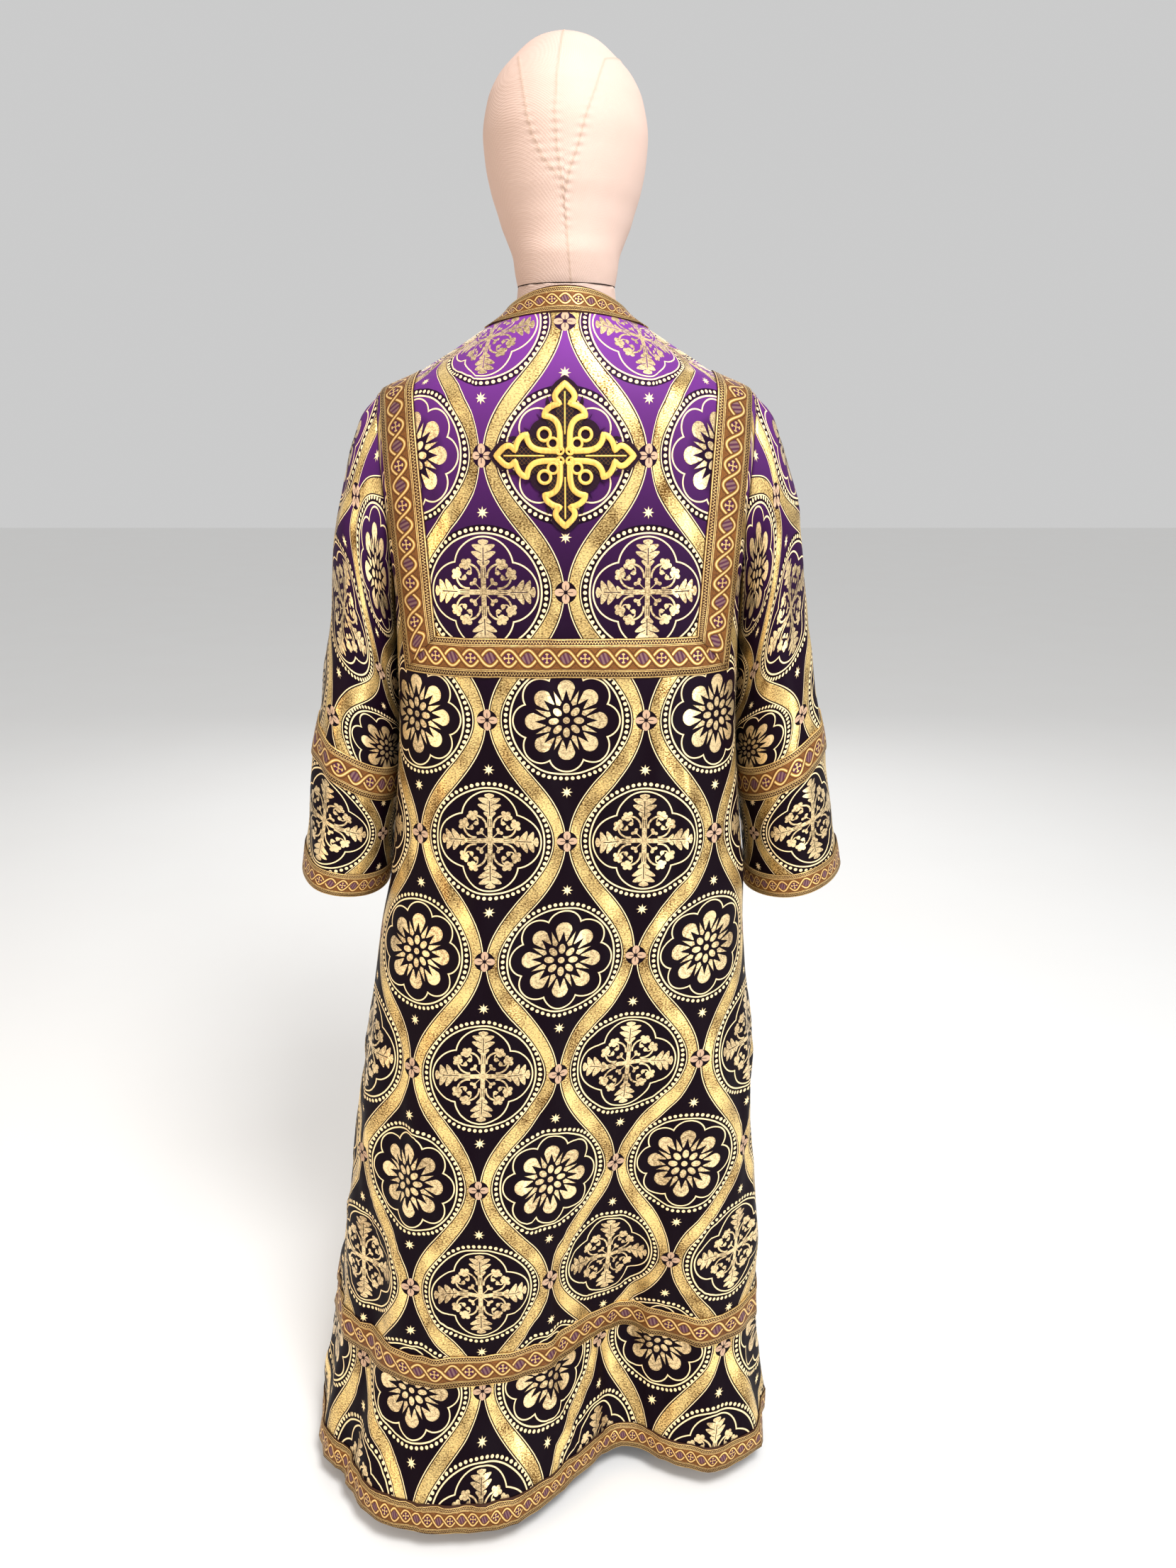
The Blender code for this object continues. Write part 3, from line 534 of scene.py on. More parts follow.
    def high_row(self, angle: float, side: Side, columns: Columns) -> Array:
        """One row above the armpit, on the +X half, by its angle round the armhole.

        Args:
            angle: Degrees, -90 at the armpit and 90 on the shoulder.
            side: Back or front.
            columns: The columns of the half panel.

        Returns:
            The row's points, from the centre line to the armhole.
        """
        rise = (1 + math.sin(math.radians(angle))) / 2
        cells = self.neck_cells(side)
        edge_y = side.value * self.armhole_depth * math.cos(math.radians(angle))
        edge_up = self.armpit + (self.shoulder_tip - self.armpit) * rise
        edge_x = self.armhole_x(edge_up, edge_y)
        wide_out = float(self.half_breadth(edge_up, 1))
        points = []
        for number, start, share in zip(columns.number, columns.start, columns.share):
            if number <= cells + 1:
                x, up = self.neck_column(number, start, rise, side)
            else:
                lean = self.yoke_lean * float(self.lean_share(start))
                top = self.ridge_up(start)
                for _ in range(8):
                    top = self.ridge_up(start + lean * (top - self.lean_level))
                up = self.armpit + (top - self.armpit) * rise
                x = start + lean * (up - self.lean_level)
                if share > 0:
                    wide_in = float(self.half_breadth(up, 1))
                    near = math.asin(min(x / wide_in, 1))
                    far = math.asin(min(edge_x / wide_out, 1))
                    up = self.armpit + (top * (1 - share) + self.shoulder_tip * share - self.armpit) * rise
                    wide = wide_in * (1 - share) + wide_out * share
                    x = wide * math.sin(near * (1 - share) + far * share)
            points.append((x, self.surface_y(x, up, side), up))
        points[-1] = (edge_x, edge_y, edge_up)
        row = np.array(points)
        if angle == 90:
            row[columns.number >= cells, 1] = 0
        return row

@dataclass
class ClothGrid:
    """A grid of points on the outside of the cloth, with directions and a map in metres."""

    points: Array
    out: Array
    across: Array
    along: Array

    def cut(self, rows: slice, columns: slice) -> "ClothGrid":
        """The part of the grid in some rows and columns."""
        return ClothGrid(*(part[rows, columns].copy() for part in
                           (self.points, self.out, self.across, self.along)))

    def crease(self, depth: Array) -> "ClothGrid":
        """The same cloth with creases that stand out by a depth at each point."""
        return ClothGrid(self.points + self.out * depth[..., None], self.out, self.across, self.along)


# Meshes


def sheet_mesh(grids: Iterable[ClothGrid], lift: float) -> Mesh:
    """Sheets of cloth sewn where they meet, with a UV map in metres.

    Args:
        grids: The grids of the sheets.
        lift: How far the sheets lie outside the grids' points.

    Returns:
        The mesh, its faces outwards.
    """
    mesh = bmesh.new()
    uv = mesh.loops.layers.uv.new("metres")
    for grid in grids:
        rows, columns = grid.points.shape[:2]
        tag = mesh.verts.layers.int.get("number") or mesh.verts.layers.int.new("number")
        made = bmesh.ops.create_grid(mesh, x_segments=columns - 1, y_segments=rows - 1, size=1.0)
        order = sorted(made["verts"], key=lambda v: (round(v.co.y, 5), round(v.co.x, 5)))
        places = (grid.points + grid.out * lift).reshape(-1, 3)
        for number, (vert, point) in enumerate(zip(order, places)):
            vert.co = point
            vert[tag] = number
        across, along, outward = grid.across.reshape(-1), grid.along.reshape(-1), grid.out.reshape(-1, 3)
        faces = list(dict.fromkeys(face for vert in order for face in vert.link_faces))
        facing = 0.0
        for face in faces:
            for loop in face.loops:
                number = loop.vert[tag]
                loop[uv].uv = (across[number], along[number])
            face.normal_update()
            facing += face.normal.dot(Vector(outward[number]))
        if facing < 0:
            bmesh.ops.reverse_faces(mesh, faces=faces)
    bmesh.ops.remove_doubles(mesh, verts=mesh.verts[:], dist=WELD)
    for vert in mesh.verts:
        vert.co.y += BODY_Y
        vert.co.z += HEM_HEIGHT
    return mesh


def add_object(name: str, data: bpy.types.ID) -> bpy.types.Object:
    """Put a new object into the scene."""
    made = bpy.data.objects.new(name, data)
    bpy.context.scene.collection.objects.link(made)
    return made


def add_piece(name: str, mesh: Mesh, finishes: Iterable[Material],
              smooth: bool = True) -> bpy.types.Object:
    """Turn a mesh into a piece of the object that rides on its one body.

    Args:
        name: The piece's name.
        mesh: Its mesh, which is used up.
        finishes: Its materials.
        smooth: Whether its faces are shaded smooth.

    Returns:
        The piece.
    """
    data = bpy.data.meshes.new(name)
    mesh.to_mesh(data)
    mesh.free()
    for finish in finishes:
        data.materials.append(finish)
    data.polygons.foreach_set("use_smooth", [smooth] * len(data.polygons))
    piece = add_object(name, data)
    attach(piece, "root")
    LOG.info("%s: %d faces", name, len(data.polygons))
    return piece


def thicken(piece: bpy.types.Object, thickness: float, inside: int = 0) -> None:
    """Give a sheet its wall, inwards.

    Args:
        piece: The sheet.
        thickness: The wall's thickness.
        inside: How many materials further on the inner face's is.
    """
    wall = piece.modifiers.new("wall", "SOLIDIFY")
    wall.thickness = thickness
    wall.offset = -1.0
    wall.use_even_offset = False
    wall.material_offset = inside
    wall.material_offset_rim = inside


def hang_cloth(name: str, grid: ClothGrid, finishes: "Finishes") -> bpy.types.Object:
    """Make a lined brocade cloth and dress it.

    Args:
        name: The CAD node that it stands for.
        grid: Its points.
        finishes: The materials.

    Returns:
        The cloth.
    """
    piece = add_piece(name + "_cloth", sheet_mesh([grid], 0.0), [finishes.brocade, finishes.lining])
    thicken(piece, CLOTH_WALL, inside=1)
    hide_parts(name)
    cloth_area([grid])
    return piece


def lay_galloon(name: str, grids: list[ClothGrid], finish: Material, run: float,
                width: float = 0.0) -> None:
    """Make one galloon on the cloth's own points and dress it.

    Args:
        name: The CAD node that it stands for.
        grids: The grids that it lies on, with its own map.
        finish: Its material.
        run: Its cut length.
        width: Its cut width, or 0 for that of its cloth laid flat.
    """
    piece = add_piece(name + "_galloon", sheet_mesh(grids, GALLOON_GAP + GALLOON_WALL), [finish])
    thicken(piece, GALLOON_WALL)
    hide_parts(name)
    flat = (run, width or cloth_area(grids) / run)


# Shader arithmetic


Number = Union[float, "Wire"]
Setting = Union[float, tuple, "Wire", Socket]


@dataclass(frozen=True)
class Wire:
    """A number that varies over a surface, with arithmetic that adds Math nodes."""

    tree: NodeTree
    socket: Socket

    def math(self, operation: str, *others: Number, clamp: bool = False) -> "Wire":
        """One Math node on this number and others.

        Args:
            operation: The node's operation.
            others: The other numbers, plain or wired.
            clamp: Whether the result is kept from 0 to 1.

        Returns:
            The result.
        """
        node = self.tree.nodes.new("ShaderNodeMath")
        node.operation = operation
        node.use_clamp = clamp
        for socket, number in zip(node.inputs, (self, *others)):
            if isinstance(number, Wire):
                self.tree.links.new(number.socket, socket)
            else:
                socket.default_value = number
        return Wire(self.tree, node.outputs[0])

    def __add__(self, other: Number) -> "Wire":
        """Sum."""
        return self.math("ADD", other)

    __radd__ = __add__

    def __sub__(self, other: Number) -> "Wire":
        """Difference."""
        return self.math("SUBTRACT", other)

    def __rsub__(self, other: Number) -> "Wire":
        """Difference the other way."""
        return self.math("MULTIPLY_ADD", -1.0, other)

    def __mul__(self, other: Number) -> "Wire":
        """Product."""
        return self.math("MULTIPLY", other)

    __rmul__ = __mul__

    def __abs__(self) -> "Wire":
        """Size without sign."""
        return self.math("ABSOLUTE")

    def most(self, other: Number) -> "Wire":
        """The larger of two numbers."""
        return self.math("MAXIMUM", other)

    def least(self, other: Number) -> "Wire":
        """The smaller of two numbers."""
        return self.math("MINIMUM", other)

    def cos(self) -> "Wire":
        """Cosine."""
        return self.math("COSINE")

    def sin(self) -> "Wire":
        """Sine."""
        return self.math("SINE")

    def root(self) -> "Wire":
        """Square root."""
        return self.math("SQRT")

    def kept(self) -> "Wire":
        """The number kept from 0 to 1."""
        return self.math("ADD", 0.0, clamp=True)

    def fold(self, scale: Number) -> "Wire":
        """Distance to the nearest even multiple of a scale."""
        return self.math("PINGPONG", scale)

    def over(self, edge: Number) -> "Wire":
        """1 where the number is above an edge."""
        return self.math("GREATER_THAN", edge)

    def below(self, edge: float, soft: float = 0.035) -> "Wire":
        """1 where the number is below an edge, with a soft change there."""
        return self.math("MULTIPLY_ADD", -1.0 / soft, edge / soft + 0.5, clamp=True)


def length(x: Wire, y: Wire) -> Wire:
    """Distance of a point from the middle."""
    return (x * x + y * y).root()


def sector(radius: Wire, angle: Wire, half: Number) -> tuple[Wire, Wire, Wire]:
    """Polar values folded into equal sectors, each mirrored on its centre line.

    Args:
        radius: Distance from the middle.
        angle: Angle round it.
        half: Half a sector's angle.

    Returns:
        The folded angle, and the place along and across the centre line.
    """
    turned = angle.fold(half)
    return turned, radius * turned.cos(), radius * turned.sin()


def blob(x: Wire, y: Wire, centre: Pair, half: Pair,
         soft: float = 0.1) -> Wire:
    """1 inside an oval.

    Args:
        x: Place along the first axis.
        y: Place along the second.
        centre: The oval's middle.
        half: Its half-lengths.
        soft: How wide its edge is, as a share of its size.

    Returns:
        The mask.
    """
    return length((x - centre[0]) * (1 / half[0]), (y - centre[1]) * (1 / half[1])).below(1.0, soft)


class Nodes:
    """A node tree under construction."""

    tree: NodeTree

    def add(self, kind: str, **inputs: Setting) -> bpy.types.Node:
        """Add a node.

        Args:
            kind: The node's type.
            inputs: Values for its inputs, or what is wired to them, by their names.

        Returns:
            The node.
        """
        node = self.tree.nodes.new(kind)
        self.fill(node, **inputs)
        return node

    def fill(self, node: bpy.types.Node, **inputs: Setting) -> None:
        """Set or wire inputs of a node.

        Args:
            node: The node.
            inputs: Values, or what is wired, by their names with underscores for spaces.
        """
        for title, value in inputs.items():
            socket = node.inputs[title.replace("_", " ")]
            value = value.socket if isinstance(value, Wire) else value
            if isinstance(value, Socket):
                self.tree.links.new(value, socket)
            else:
                socket.default_value = value

    def first(self, kind: str, **inputs: Setting) -> Wire:
        """Add a node and take its first output."""
        return Wire(self.tree, self.add(kind, **inputs).outputs[0])

    def split(self, place: Socket) -> list[Wire]:
        """The three values of a vector."""
        return [Wire(self.tree, out) for out in self.add("ShaderNodeSeparateXYZ", Vector=place).outputs]


class Group(Nodes):
    """A shader node group with named inputs and outputs."""

    def __init__(self, name: str, inputs: dict[str, float], outputs: Iterable[str]) -> None:
        """Make the group.

        Args:
            name: The group's name.
            inputs: Its number inputs with their first values; it also has a "Place" vector.
            outputs: Its number outputs.
        """
        self.tree = bpy.data.node_groups.new(name, "ShaderNodeTree")
        face = self.tree.interface
        face.new_socket("Place", in_out="INPUT", socket_type="NodeSocketVector")
        for title, value in inputs.items():
            face.new_socket(title, in_out="INPUT", socket_type="NodeSocketFloat").default_value = value
        for title in outputs:
            face.new_socket(title, in_out="OUTPUT", socket_type="NodeSocketFloat")
        self.inside = self.add("NodeGroupInput")
        self.result = self.add("NodeGroupOutput")

    def read(self, title: str) -> Wire:
        """One of the group's inputs."""
        return Wire(self.tree, self.inside.outputs[title])

    def axes(self, scale: float = 1.0) -> tuple[Wire, Wire]:
        """The place's first two values, scaled."""
        x, y, _ = self.split(self.inside.outputs["Place"])
        return x * scale, y * scale

    def give(self, **masks: Wire) -> None:
        """Send numbers to the group's outputs, by their names."""
        self.fill(self.result, **masks)

    def noise(self, scale: Pair, detail: float, seed: float = 0.0) -> Wire:
        """Noise over the place, from 0 to 1.

        Args:
            scale: Lumps in a metre along each axis.
            detail: How many finer layers it has.
            seed: Moves the noise.

        Returns:
            The noise.
        """
        spread = self.add("ShaderNodeMapping", Vector=self.inside.outputs["Place"],
                          Location=(seed, seed, 0), Scale=(*scale, 1))
        return self.first("ShaderNodeTexNoise", Vector=spread.outputs[0], Scale=1.0, Detail=detail)


# Woven patterns


@dataclass(frozen=True)
class BrocadePattern:
    """The brocade's repeat, in centimetres: roundels in a lattice of undulating bands."""

    half_width: float = 8.25
    row: float = 13.25
    top_row_up: float = 1.3335
    kiss: float = 0.10
    core_narrow: float = 0.49
    core_swell: float = 0.24
    edge_line: Pair = (0.165, 0.048)
    ring: Pair = (5.84, 0.085)
    pearls: tuple[float, float, int] = (6.31, 0.195, 64)
    pearl_track: float = 0.36
    inside: float = 6.6
    heart: Pair = (3.3, 1.6)
    outline: float = 0.075
    lobe_centres: Pair = (2.49, 1.22)
    lobe_sizes: Pair = (3.01, 1.17)
    petal_round: float = 3.40
    petal_ends: Pair = (2.15, 4.27)
    leaf_start: float = 2.25
    lobe_step: float = 0.78
    berries: tuple[Triple, ...] = (
        (3.06, 1.52, 0.27), (3.02, 2.0, 0.27), (2.62, 2.22, 0.25),
        (1.94, 1.42, 0.24), (1.22, 0.84, 0.19), (0.94, 0.94, 0.21),
    )
    disc: float = 1.10
    star_down: float = 7.82

    def build(self) -> NodeTree:
        """Make the pattern's node group.

        Returns:
            The group, with masks for lines, gold bands, gold motifs, flowers and dark grounds,
            and a hatch over the motifs.
        """
        group = Group("brocade pattern", {}, ("Line", "Band", "Motif", "Flower", "Dark", "Hatch"))
        u, v = group.axes(CM)
        even_x = u.fold(self.half_width)
        odd_x = self.half_width - even_x
        even_y = (v - self.top_row_up * CM).fold(self.row)
        odd_y = self.row - even_y
        rosette = (odd_x * odd_x + even_y * even_y).over(even_x * even_x + odd_y * odd_y)
        x = odd_x + rosette * (even_x - odd_x)
        y = even_y + rosette * (odd_y - even_y)
        core, outside, edge = self.bands(x, y)
        radius = length(x, y)
        angle = y.math("ARCTAN2", x)
        turned, along, across = sector(radius, angle, math.pi / 4 - rosette * (math.pi / 8))
        ring = abs(radius - self.ring[0]).below(self.ring[1])
        lines = ring.most(self.pearl_ring(radius, angle)).most(self.lobes(along, across, rosette))
        motif = self.rosette(radius, turned, along, across) * rosette
        motif = motif.most(self.leaf_cross(along, across) * (1.0 - rosette))
        inside = radius.below(self.inside)
        flower, disc = self.flower(x, y)
        star = self.star(x, y)
        clear = 1.0 - disc
        lines = (lines * outside * inside).most(edge).most(star) * clear
        track = abs(radius - self.pearls[0]).below(self.pearl_track)
        heart = radius.below(*self.heart) * rosette
        dark = track.most(heart).most(disc).most(1.0 - outside)
        hatch = (along * 9.0 + across * 5.0).sin() * 0.5 + 0.5
        group.give(Line=lines, Band=core * clear, Motif=motif * inside, Flower=flower, Dark=dark,
                   Hatch=hatch)
        return group.tree

    def bands(self, x: Wire, y: Wire) -> tuple[Wire, Wire, Wire]:
        """The undulating gold bands that part the roundels.

        Args:
            x: Distance across from the roundel's middle.
            y: Distance down from it.

        Returns:
            Masks for the gold core, for all outside the band, and for its edge lines.
        """
        swing = self.half_width * (0.5 - self.kiss)
        steep = (swing * math.pi / self.row) ** 2
        wave = (y * (math.pi / self.row)).cos()
        slant = 1.0 - wave * wave
        upright = (slant * steep + 1.0).math("INVERSE_SQRT")
        away = abs(x - wave * swing - self.half_width / 2) * upright
        gap = away - slant * self.core_swell - self.core_narrow
        place, half = self.edge_line
        return gap.below(0.0), 1.0 - gap.below(place - half), abs(gap - place).below(half)

    def pearl_ring(self, radius: Wire, angle: Wire) -> Wire:
        """The ring of pearls round a roundel.

        Args:
            radius: Distance from the roundel's middle.
            angle: Angle round it.

        Returns:
            The pearls' mask.
        """
        middle, size, count = self.pearls
        step = 2 * math.pi / count
        sideways = angle.fold(step / 2) * middle
        return length(sideways, radius - middle).below(size)

    def lobes(self, along: Wire, across: Wire, rosette: Wire) -> Wire:
        """The lobed line inside the ring: eight lobes round a rosette, four round a cross.

        Args:
            along: Place along a lobe's centre line.
            across: Place across it.
            rosette: 1 in a rosette's cell, 0 in a cross's.

        Returns:
            The line's mask.
        """
        centre = rosette * self.lobe_centres[1] + self.lobe_centres[0]
        size = self.lobe_sizes[0] - rosette * self.lobe_sizes[1]
        away = abs(length(along - centre, across) - size)
        return away.below(self.outline) * (along - centre).over(0.2)

    def rosette(self, radius: Wire, turned: Wire, along: Wire, across: Wire) -> Wire:
        """The rosette of dots, slivers and split petals.

        Args:
            radius: Distance from the middle.
            turned: Angle from the nearest petal's centre line.
            along: Place along that line.
            across: Place across it.

        Returns:
            The rosette's mask.
        """
        dot = radius.below(0.35)
        ovals = blob(along, across, (1.30, 0.0), (0.52, 0.35))
        between = math.pi / 8 - turned
        sliver_along = radius * between.cos()
        sliver_half = ((sliver_along - 1.72) * 1.2).least((3.40 - sliver_along) * 0.21)
        slivers = (radius * between.sin() - sliver_half).below(0.0)
        beyond = (along - self.petal_round).most(0.0)
        round_half = (0.78 - beyond * beyond).most(0.0).root()
        petal_half = round_half - (self.petal_round - along).most(0.0) * 0.36
        notch = ((3.28 - along) * 0.30).most(0.0)
        petals = (across - petal_half).below(0.0) * (across - notch).over(0.0)
        petals = petals * along.over(self.petal_ends[0]) * along.below(self.petal_ends[1])
        return dot.most(ovals).most(slivers).most(petals)

    def leaf_cross(self, along: Wire, across: Wire) -> Wire:
        """The cross of four lobed leaves with tendrils between its arms.

        Args:
            along: Place along the nearest arm.
            across: Place across it.

        Returns:
            The cross's mask.
        """
        stem = across.below(0.25) * along.below(2.7)
        split = abs(across - 0.11).below(0.035) * along.over(1.45)
        slant = along - across * 0.42
        lobe = ((slant - self.leaf_start) * (math.pi / self.lobe_step)).sin()
        bulge = ((slant - 2.15) * (math.pi / 3.2)).math("SINE", clamp=True)
        half = bulge * (0.66 + abs(lobe) * 0.74) - 0.10
        leaf = (across - half).below(0.0) * along.over(2.2) * slant.below(5.3)
        vein = abs(lobe).below(0.16, 0.1) * across.over(0.16)
        rib = across.below(0.045) * along.over(1.9) * along.below(4.4)
        leaf = leaf * (1.0 - vein.most(rib))
        arc = abs(length(along - 1.55, across - 1.62) - 1.24).below(0.10)
        arc = arc * along.over(1.4) * across.below(1.45)
        curl = abs(length(along - 2.22, across - 1.62) - 0.36).below(0.07) * across.below(1.75)
        cluster = blob(along, across, (2.66, 1.80), (0.42, 0.36))
        for place, side, half in self.berries:
            cluster = cluster.most(blob(along, across, (place, side), (half, half)))
        stalk = abs(along - across).below(0.07) * along.over(0.30) * along.below(0.85)
        twigs = arc.most(curl).most(cluster).most(stalk)
        return (stem * (1.0 - split)).most(leaf).most(twigs)

    def flower(self, x: Wire, y: Wire) -> tuple[Wire, Wire]:
        """The four-petalled flower where two bands meet, and the dark disc under it.

        Args:
            x: Distance across from the roundel's middle.
            y: Distance down from it.

        Returns:
            Masks for the flower and for the disc.
        """
        near = self.half_width - x
        radius = length(near, y)
        _, along, across = sector(radius, y.math("ARCTAN2", near), math.pi / 4)
        petal = blob(along, across, (0.66, 0.0), (0.48, 0.38))
        slit = across.below(0.035) * along.below(0.72)
        return petal * (1.0 - slit), radius.below(self.disc)

    def star(self, x: Wire, y: Wire) -> Wire:
        """The eight-pointed star above and below each roundel.

        Args:
            x: Distance across from the roundel's middle.
            y: Distance down from it.

        Returns:
            The star's mask.
        """
        down = y - self.star_down
        _, along, across = sector(length(x, down), abs(down).math("ARCTAN2", x), math.pi / 8)
        return (along * 0.252 + across * 0.968).below(0.151)


@dataclass(frozen=True)
class GalloonPattern:
    """The galloon's repeat, in centimetres: two plaited cords, lozenges and edge borders."""

    step: float = 1.95
    swing: float = 0.86
    cord: float = 0.20
    outline: float = 0.07
    field: float = 1.13
    lines: tuple[Pair, ...] = ((1.21, 0.035), (1.36, 0.04), (1.95, 0.06))
    zigzag: tuple[float, float, float, float] = (1.50, 0.05, 0.30, 0.56)

    def build(self) -> NodeTree:
        """Make the pattern's node group.

        Returns:
            The group, with masks for cords, a painted highlight along the cord centres, purple,
            lines and dark outlines, and a hatch over the purple.
        """
        group = Group("galloon pattern", {"Scale": 1.0},
                      ("Cord", "Shine", "Purple", "Line", "Dark", "Hatch"))
        size = group.read("Scale")
        u, v = group.axes(CM)
        s, t = u * size, v * size
        cell = (s * (1 / self.step)).math("FRACT")
        turn = cell * math.pi
        fall = turn.cos() * self.swing
        slope = turn.sin() * (self.swing * math.pi / self.step)
        upright = (slope * slope + 1.0).math("INVERSE_SQRT")
        top = abs(t - fall) * upright
        under = abs(t + fall) * upright
        reach = self.cord + self.outline
        top_on = top.below(reach)
        hidden = 1.0 - top_on
        edge = abs(t)
        in_field = edge.below(self.field)
        cords = top.below(self.cord).most(under.below(self.cord) * hidden)
        edges = top_on.most(under.below(reach) * hidden) - cords
        # Shine: a painted highlight, a bright stripe along the crest of each visible cord.
        shine = abs(top - 0.02).below(0.06, 0.08).most(abs(under - 0.02).below(0.06, 0.08) * hidden)
        between = (abs(fall) - edge).over(0.0)
        lozenge = (s * (0.5 / self.step) + 0.25).math("FRACT").over(0.5)
        near = s.fold(self.step / 2)
        across = near.least(edge)
        far = near.most(edge)
        bloom = (across - 0.05).below(0.0).most(blob(far, across, (0.42, 0.0), (0.10, 0.17)))
        bloom = bloom * far.below(0.52)
        foot, half, pitch, height = self.zigzag
        rims = abs(edge - foot - (s * (1 / pitch)).fold(0.5) * height).below(half)
        for place, half in self.lines:
            rims = rims.most(abs(edge - place).below(half))
        bare = between * (1.0 - cords - edges)
        group.give(Cord=cords * in_field, Shine=shine * in_field,
                   Purple=bare * (1.0 - lozenge * bloom) * in_field,
                   Line=rims.most(bare * lozenge * bloom),
                   Dark=(edges * in_field).most((1.0 - in_field) * (1.0 - rims)),
                   Hatch=((s * 14.0 + t * 5.0).sin() * 0.5 + 0.5) * (1.0 - lozenge))
        return group.tree


@dataclass(frozen=True)
class MetalGrain:
    """The sparkle of flat metal thread: light and dark flecks, partly the thread's speckle
    and partly painted glints, and slow drifts of tone.
    """

    def build(self) -> NodeTree:
        """Make the grain's node group, with a fleck, a drift and a relief."""
        group = Group("metal thread grain", {}, ("Fleck", "Drift", "Relief"))
        # Fleck: painted glints, together with the thread's own speckle, as colour noise.
        fleck = group.noise((480, 700), 3.0)
        group.give(Fleck=(fleck - 0.5) * 5.0 + 0.5, Drift=group.noise((26, 20), 2.0, 3.0),
                   Relief=group.noise((700, 1400), 2.0, 7.0))
        return group.tree


# Finishes


class Palette(Enum):
    """Colours of the threads, linear."""

    PALE_GOLD = (0.97, 0.70, 0.28, 1)
    DEEP_GOLD = (0.10, 0.040, 0.008, 1)
    CREAM = (0.94, 0.72, 0.40, 1)
    ROSE = (0.50, 0.33, 0.22, 1)
    BRONZE = (0.045, 0.016, 0.007, 1)
    # Violet of the brocade's painted sheen, its bright end.
    VIOLET = (0.27, 0.055, 0.40, 1)
    AUBERGINE = (0.0042, 0.0009, 0.0036, 1)
    PLUM = (0.065, 0.012, 0.040, 1)
    OCHRE = (0.24, 0.092, 0.020, 1)
    LINEN = (0.62, 0.465, 0.40, 1)
    LINEN_SHADE = (0.50, 0.345, 0.275, 1)
    SEAM = (0.42, 0.29, 0.21, 1)
    STITCH = (0.88, 0.56, 0.12, 1)
    STITCH_SHADE = (0.40, 0.18, 0.030, 1)
    DARK_FELT = (0.022, 0.008, 0.017, 1)
    BLACK = (0.015, 0.015, 0.016, 1)
    FLOOR = (0.90, 0.90, 0.89, 1)


Colour = Union[Palette, Socket]


class Dresser(Nodes):
    """A material under construction, with the few steps that the finishes share."""

    def __init__(self, name: str) -> None:
        """Make an empty Principled material."""
        self.material = bpy.data.materials.new(name)
        self.material.use_nodes = True
        self.tree = self.material.node_tree
        self.shader = self.tree.nodes["Principled BSDF"]
        self.place = self.add("ShaderNodeTexCoord")

    def plain(self, **values: float) -> None:
        """Set uniform values on the shader's own sockets."""
        self.fill(self.shader, **values)

    def group(self, tree: NodeTree, source: str = "UV", **values: float) -> dict[str, Wire]:
        """Place a node group in the material.

        Args:
            tree: The group.
            source: The texture coordinate that it reads.
            values: Its own inputs.

        Returns:
            Its outputs by name.
        """
        node = self.add("ShaderNodeGroup")
        node.node_tree = tree
        self.fill(node, Place=self.place.outputs[source], **values)
        return {out.name: Wire(self.tree, out) for out in node.outputs}

    def axes(self) -> list[Wire]:
        """The Object coordinates, one by one."""
        return self.split(self.place.outputs["Object"])

    def noise(self, scale: float, detail: float = 2.0) -> Wire:
        """Noise on Object coordinates.

        Args:
            scale: Lumps in a metre.
            detail: How many finer layers it has.

        Returns:
            The noise, from 0 to 1.
        """
        place = self.place.outputs["Object"]
        return self.first("ShaderNodeTexNoise", Vector=place, Scale=scale, Detail=detail)

    def mix(self, share: Wire, first: Colour, second: Colour) -> Socket:
        """The first colour, changing to the second by a share.

        Args:
            share: Share of the second colour, from 0 to 1.
            first: A tone of the palette, or a socket.
            second: The same.

        Returns:
            The mixed colour.
        """
        node = self.add("ShaderNodeMix")
        node.data_type = "RGBA"
        sockets = []
        for colour in (first, second):
            if isinstance(colour, Palette):
                tone = self.add("ShaderNodeRGB")
                tone.outputs[0].default_value = colour.value
                colour = tone.outputs[0]
            sockets.append(colour)
        self.fill(node, Factor=share, A=sockets[0], B=sockets[1])
        return node.outputs["Result"]

    def finish(self, colour: Socket, height: Wire, depth: float,
               roughness: Optional[Wire] = None, metallic: Optional[Wire] = None) -> Material:
        """Wire the results into the shader.

        Args:
            colour: The base colour.
            height: Relief, from 0 to 1.
            depth: How deep a full relief is, in metres.
            roughness: Roughness where it varies.
            metallic: Metallic share where it varies.

        Returns:
            The material.
        """
        bump = self.add("ShaderNodeBump", Distance=depth, Height=height)
        self.fill(self.shader, Base_Color=colour, Normal=bump.outputs[0])
        if roughness:
            self.fill(self.shader, Roughness=roughness)
        if metallic:
            self.fill(self.shader, Metallic=metallic)
        return self.material


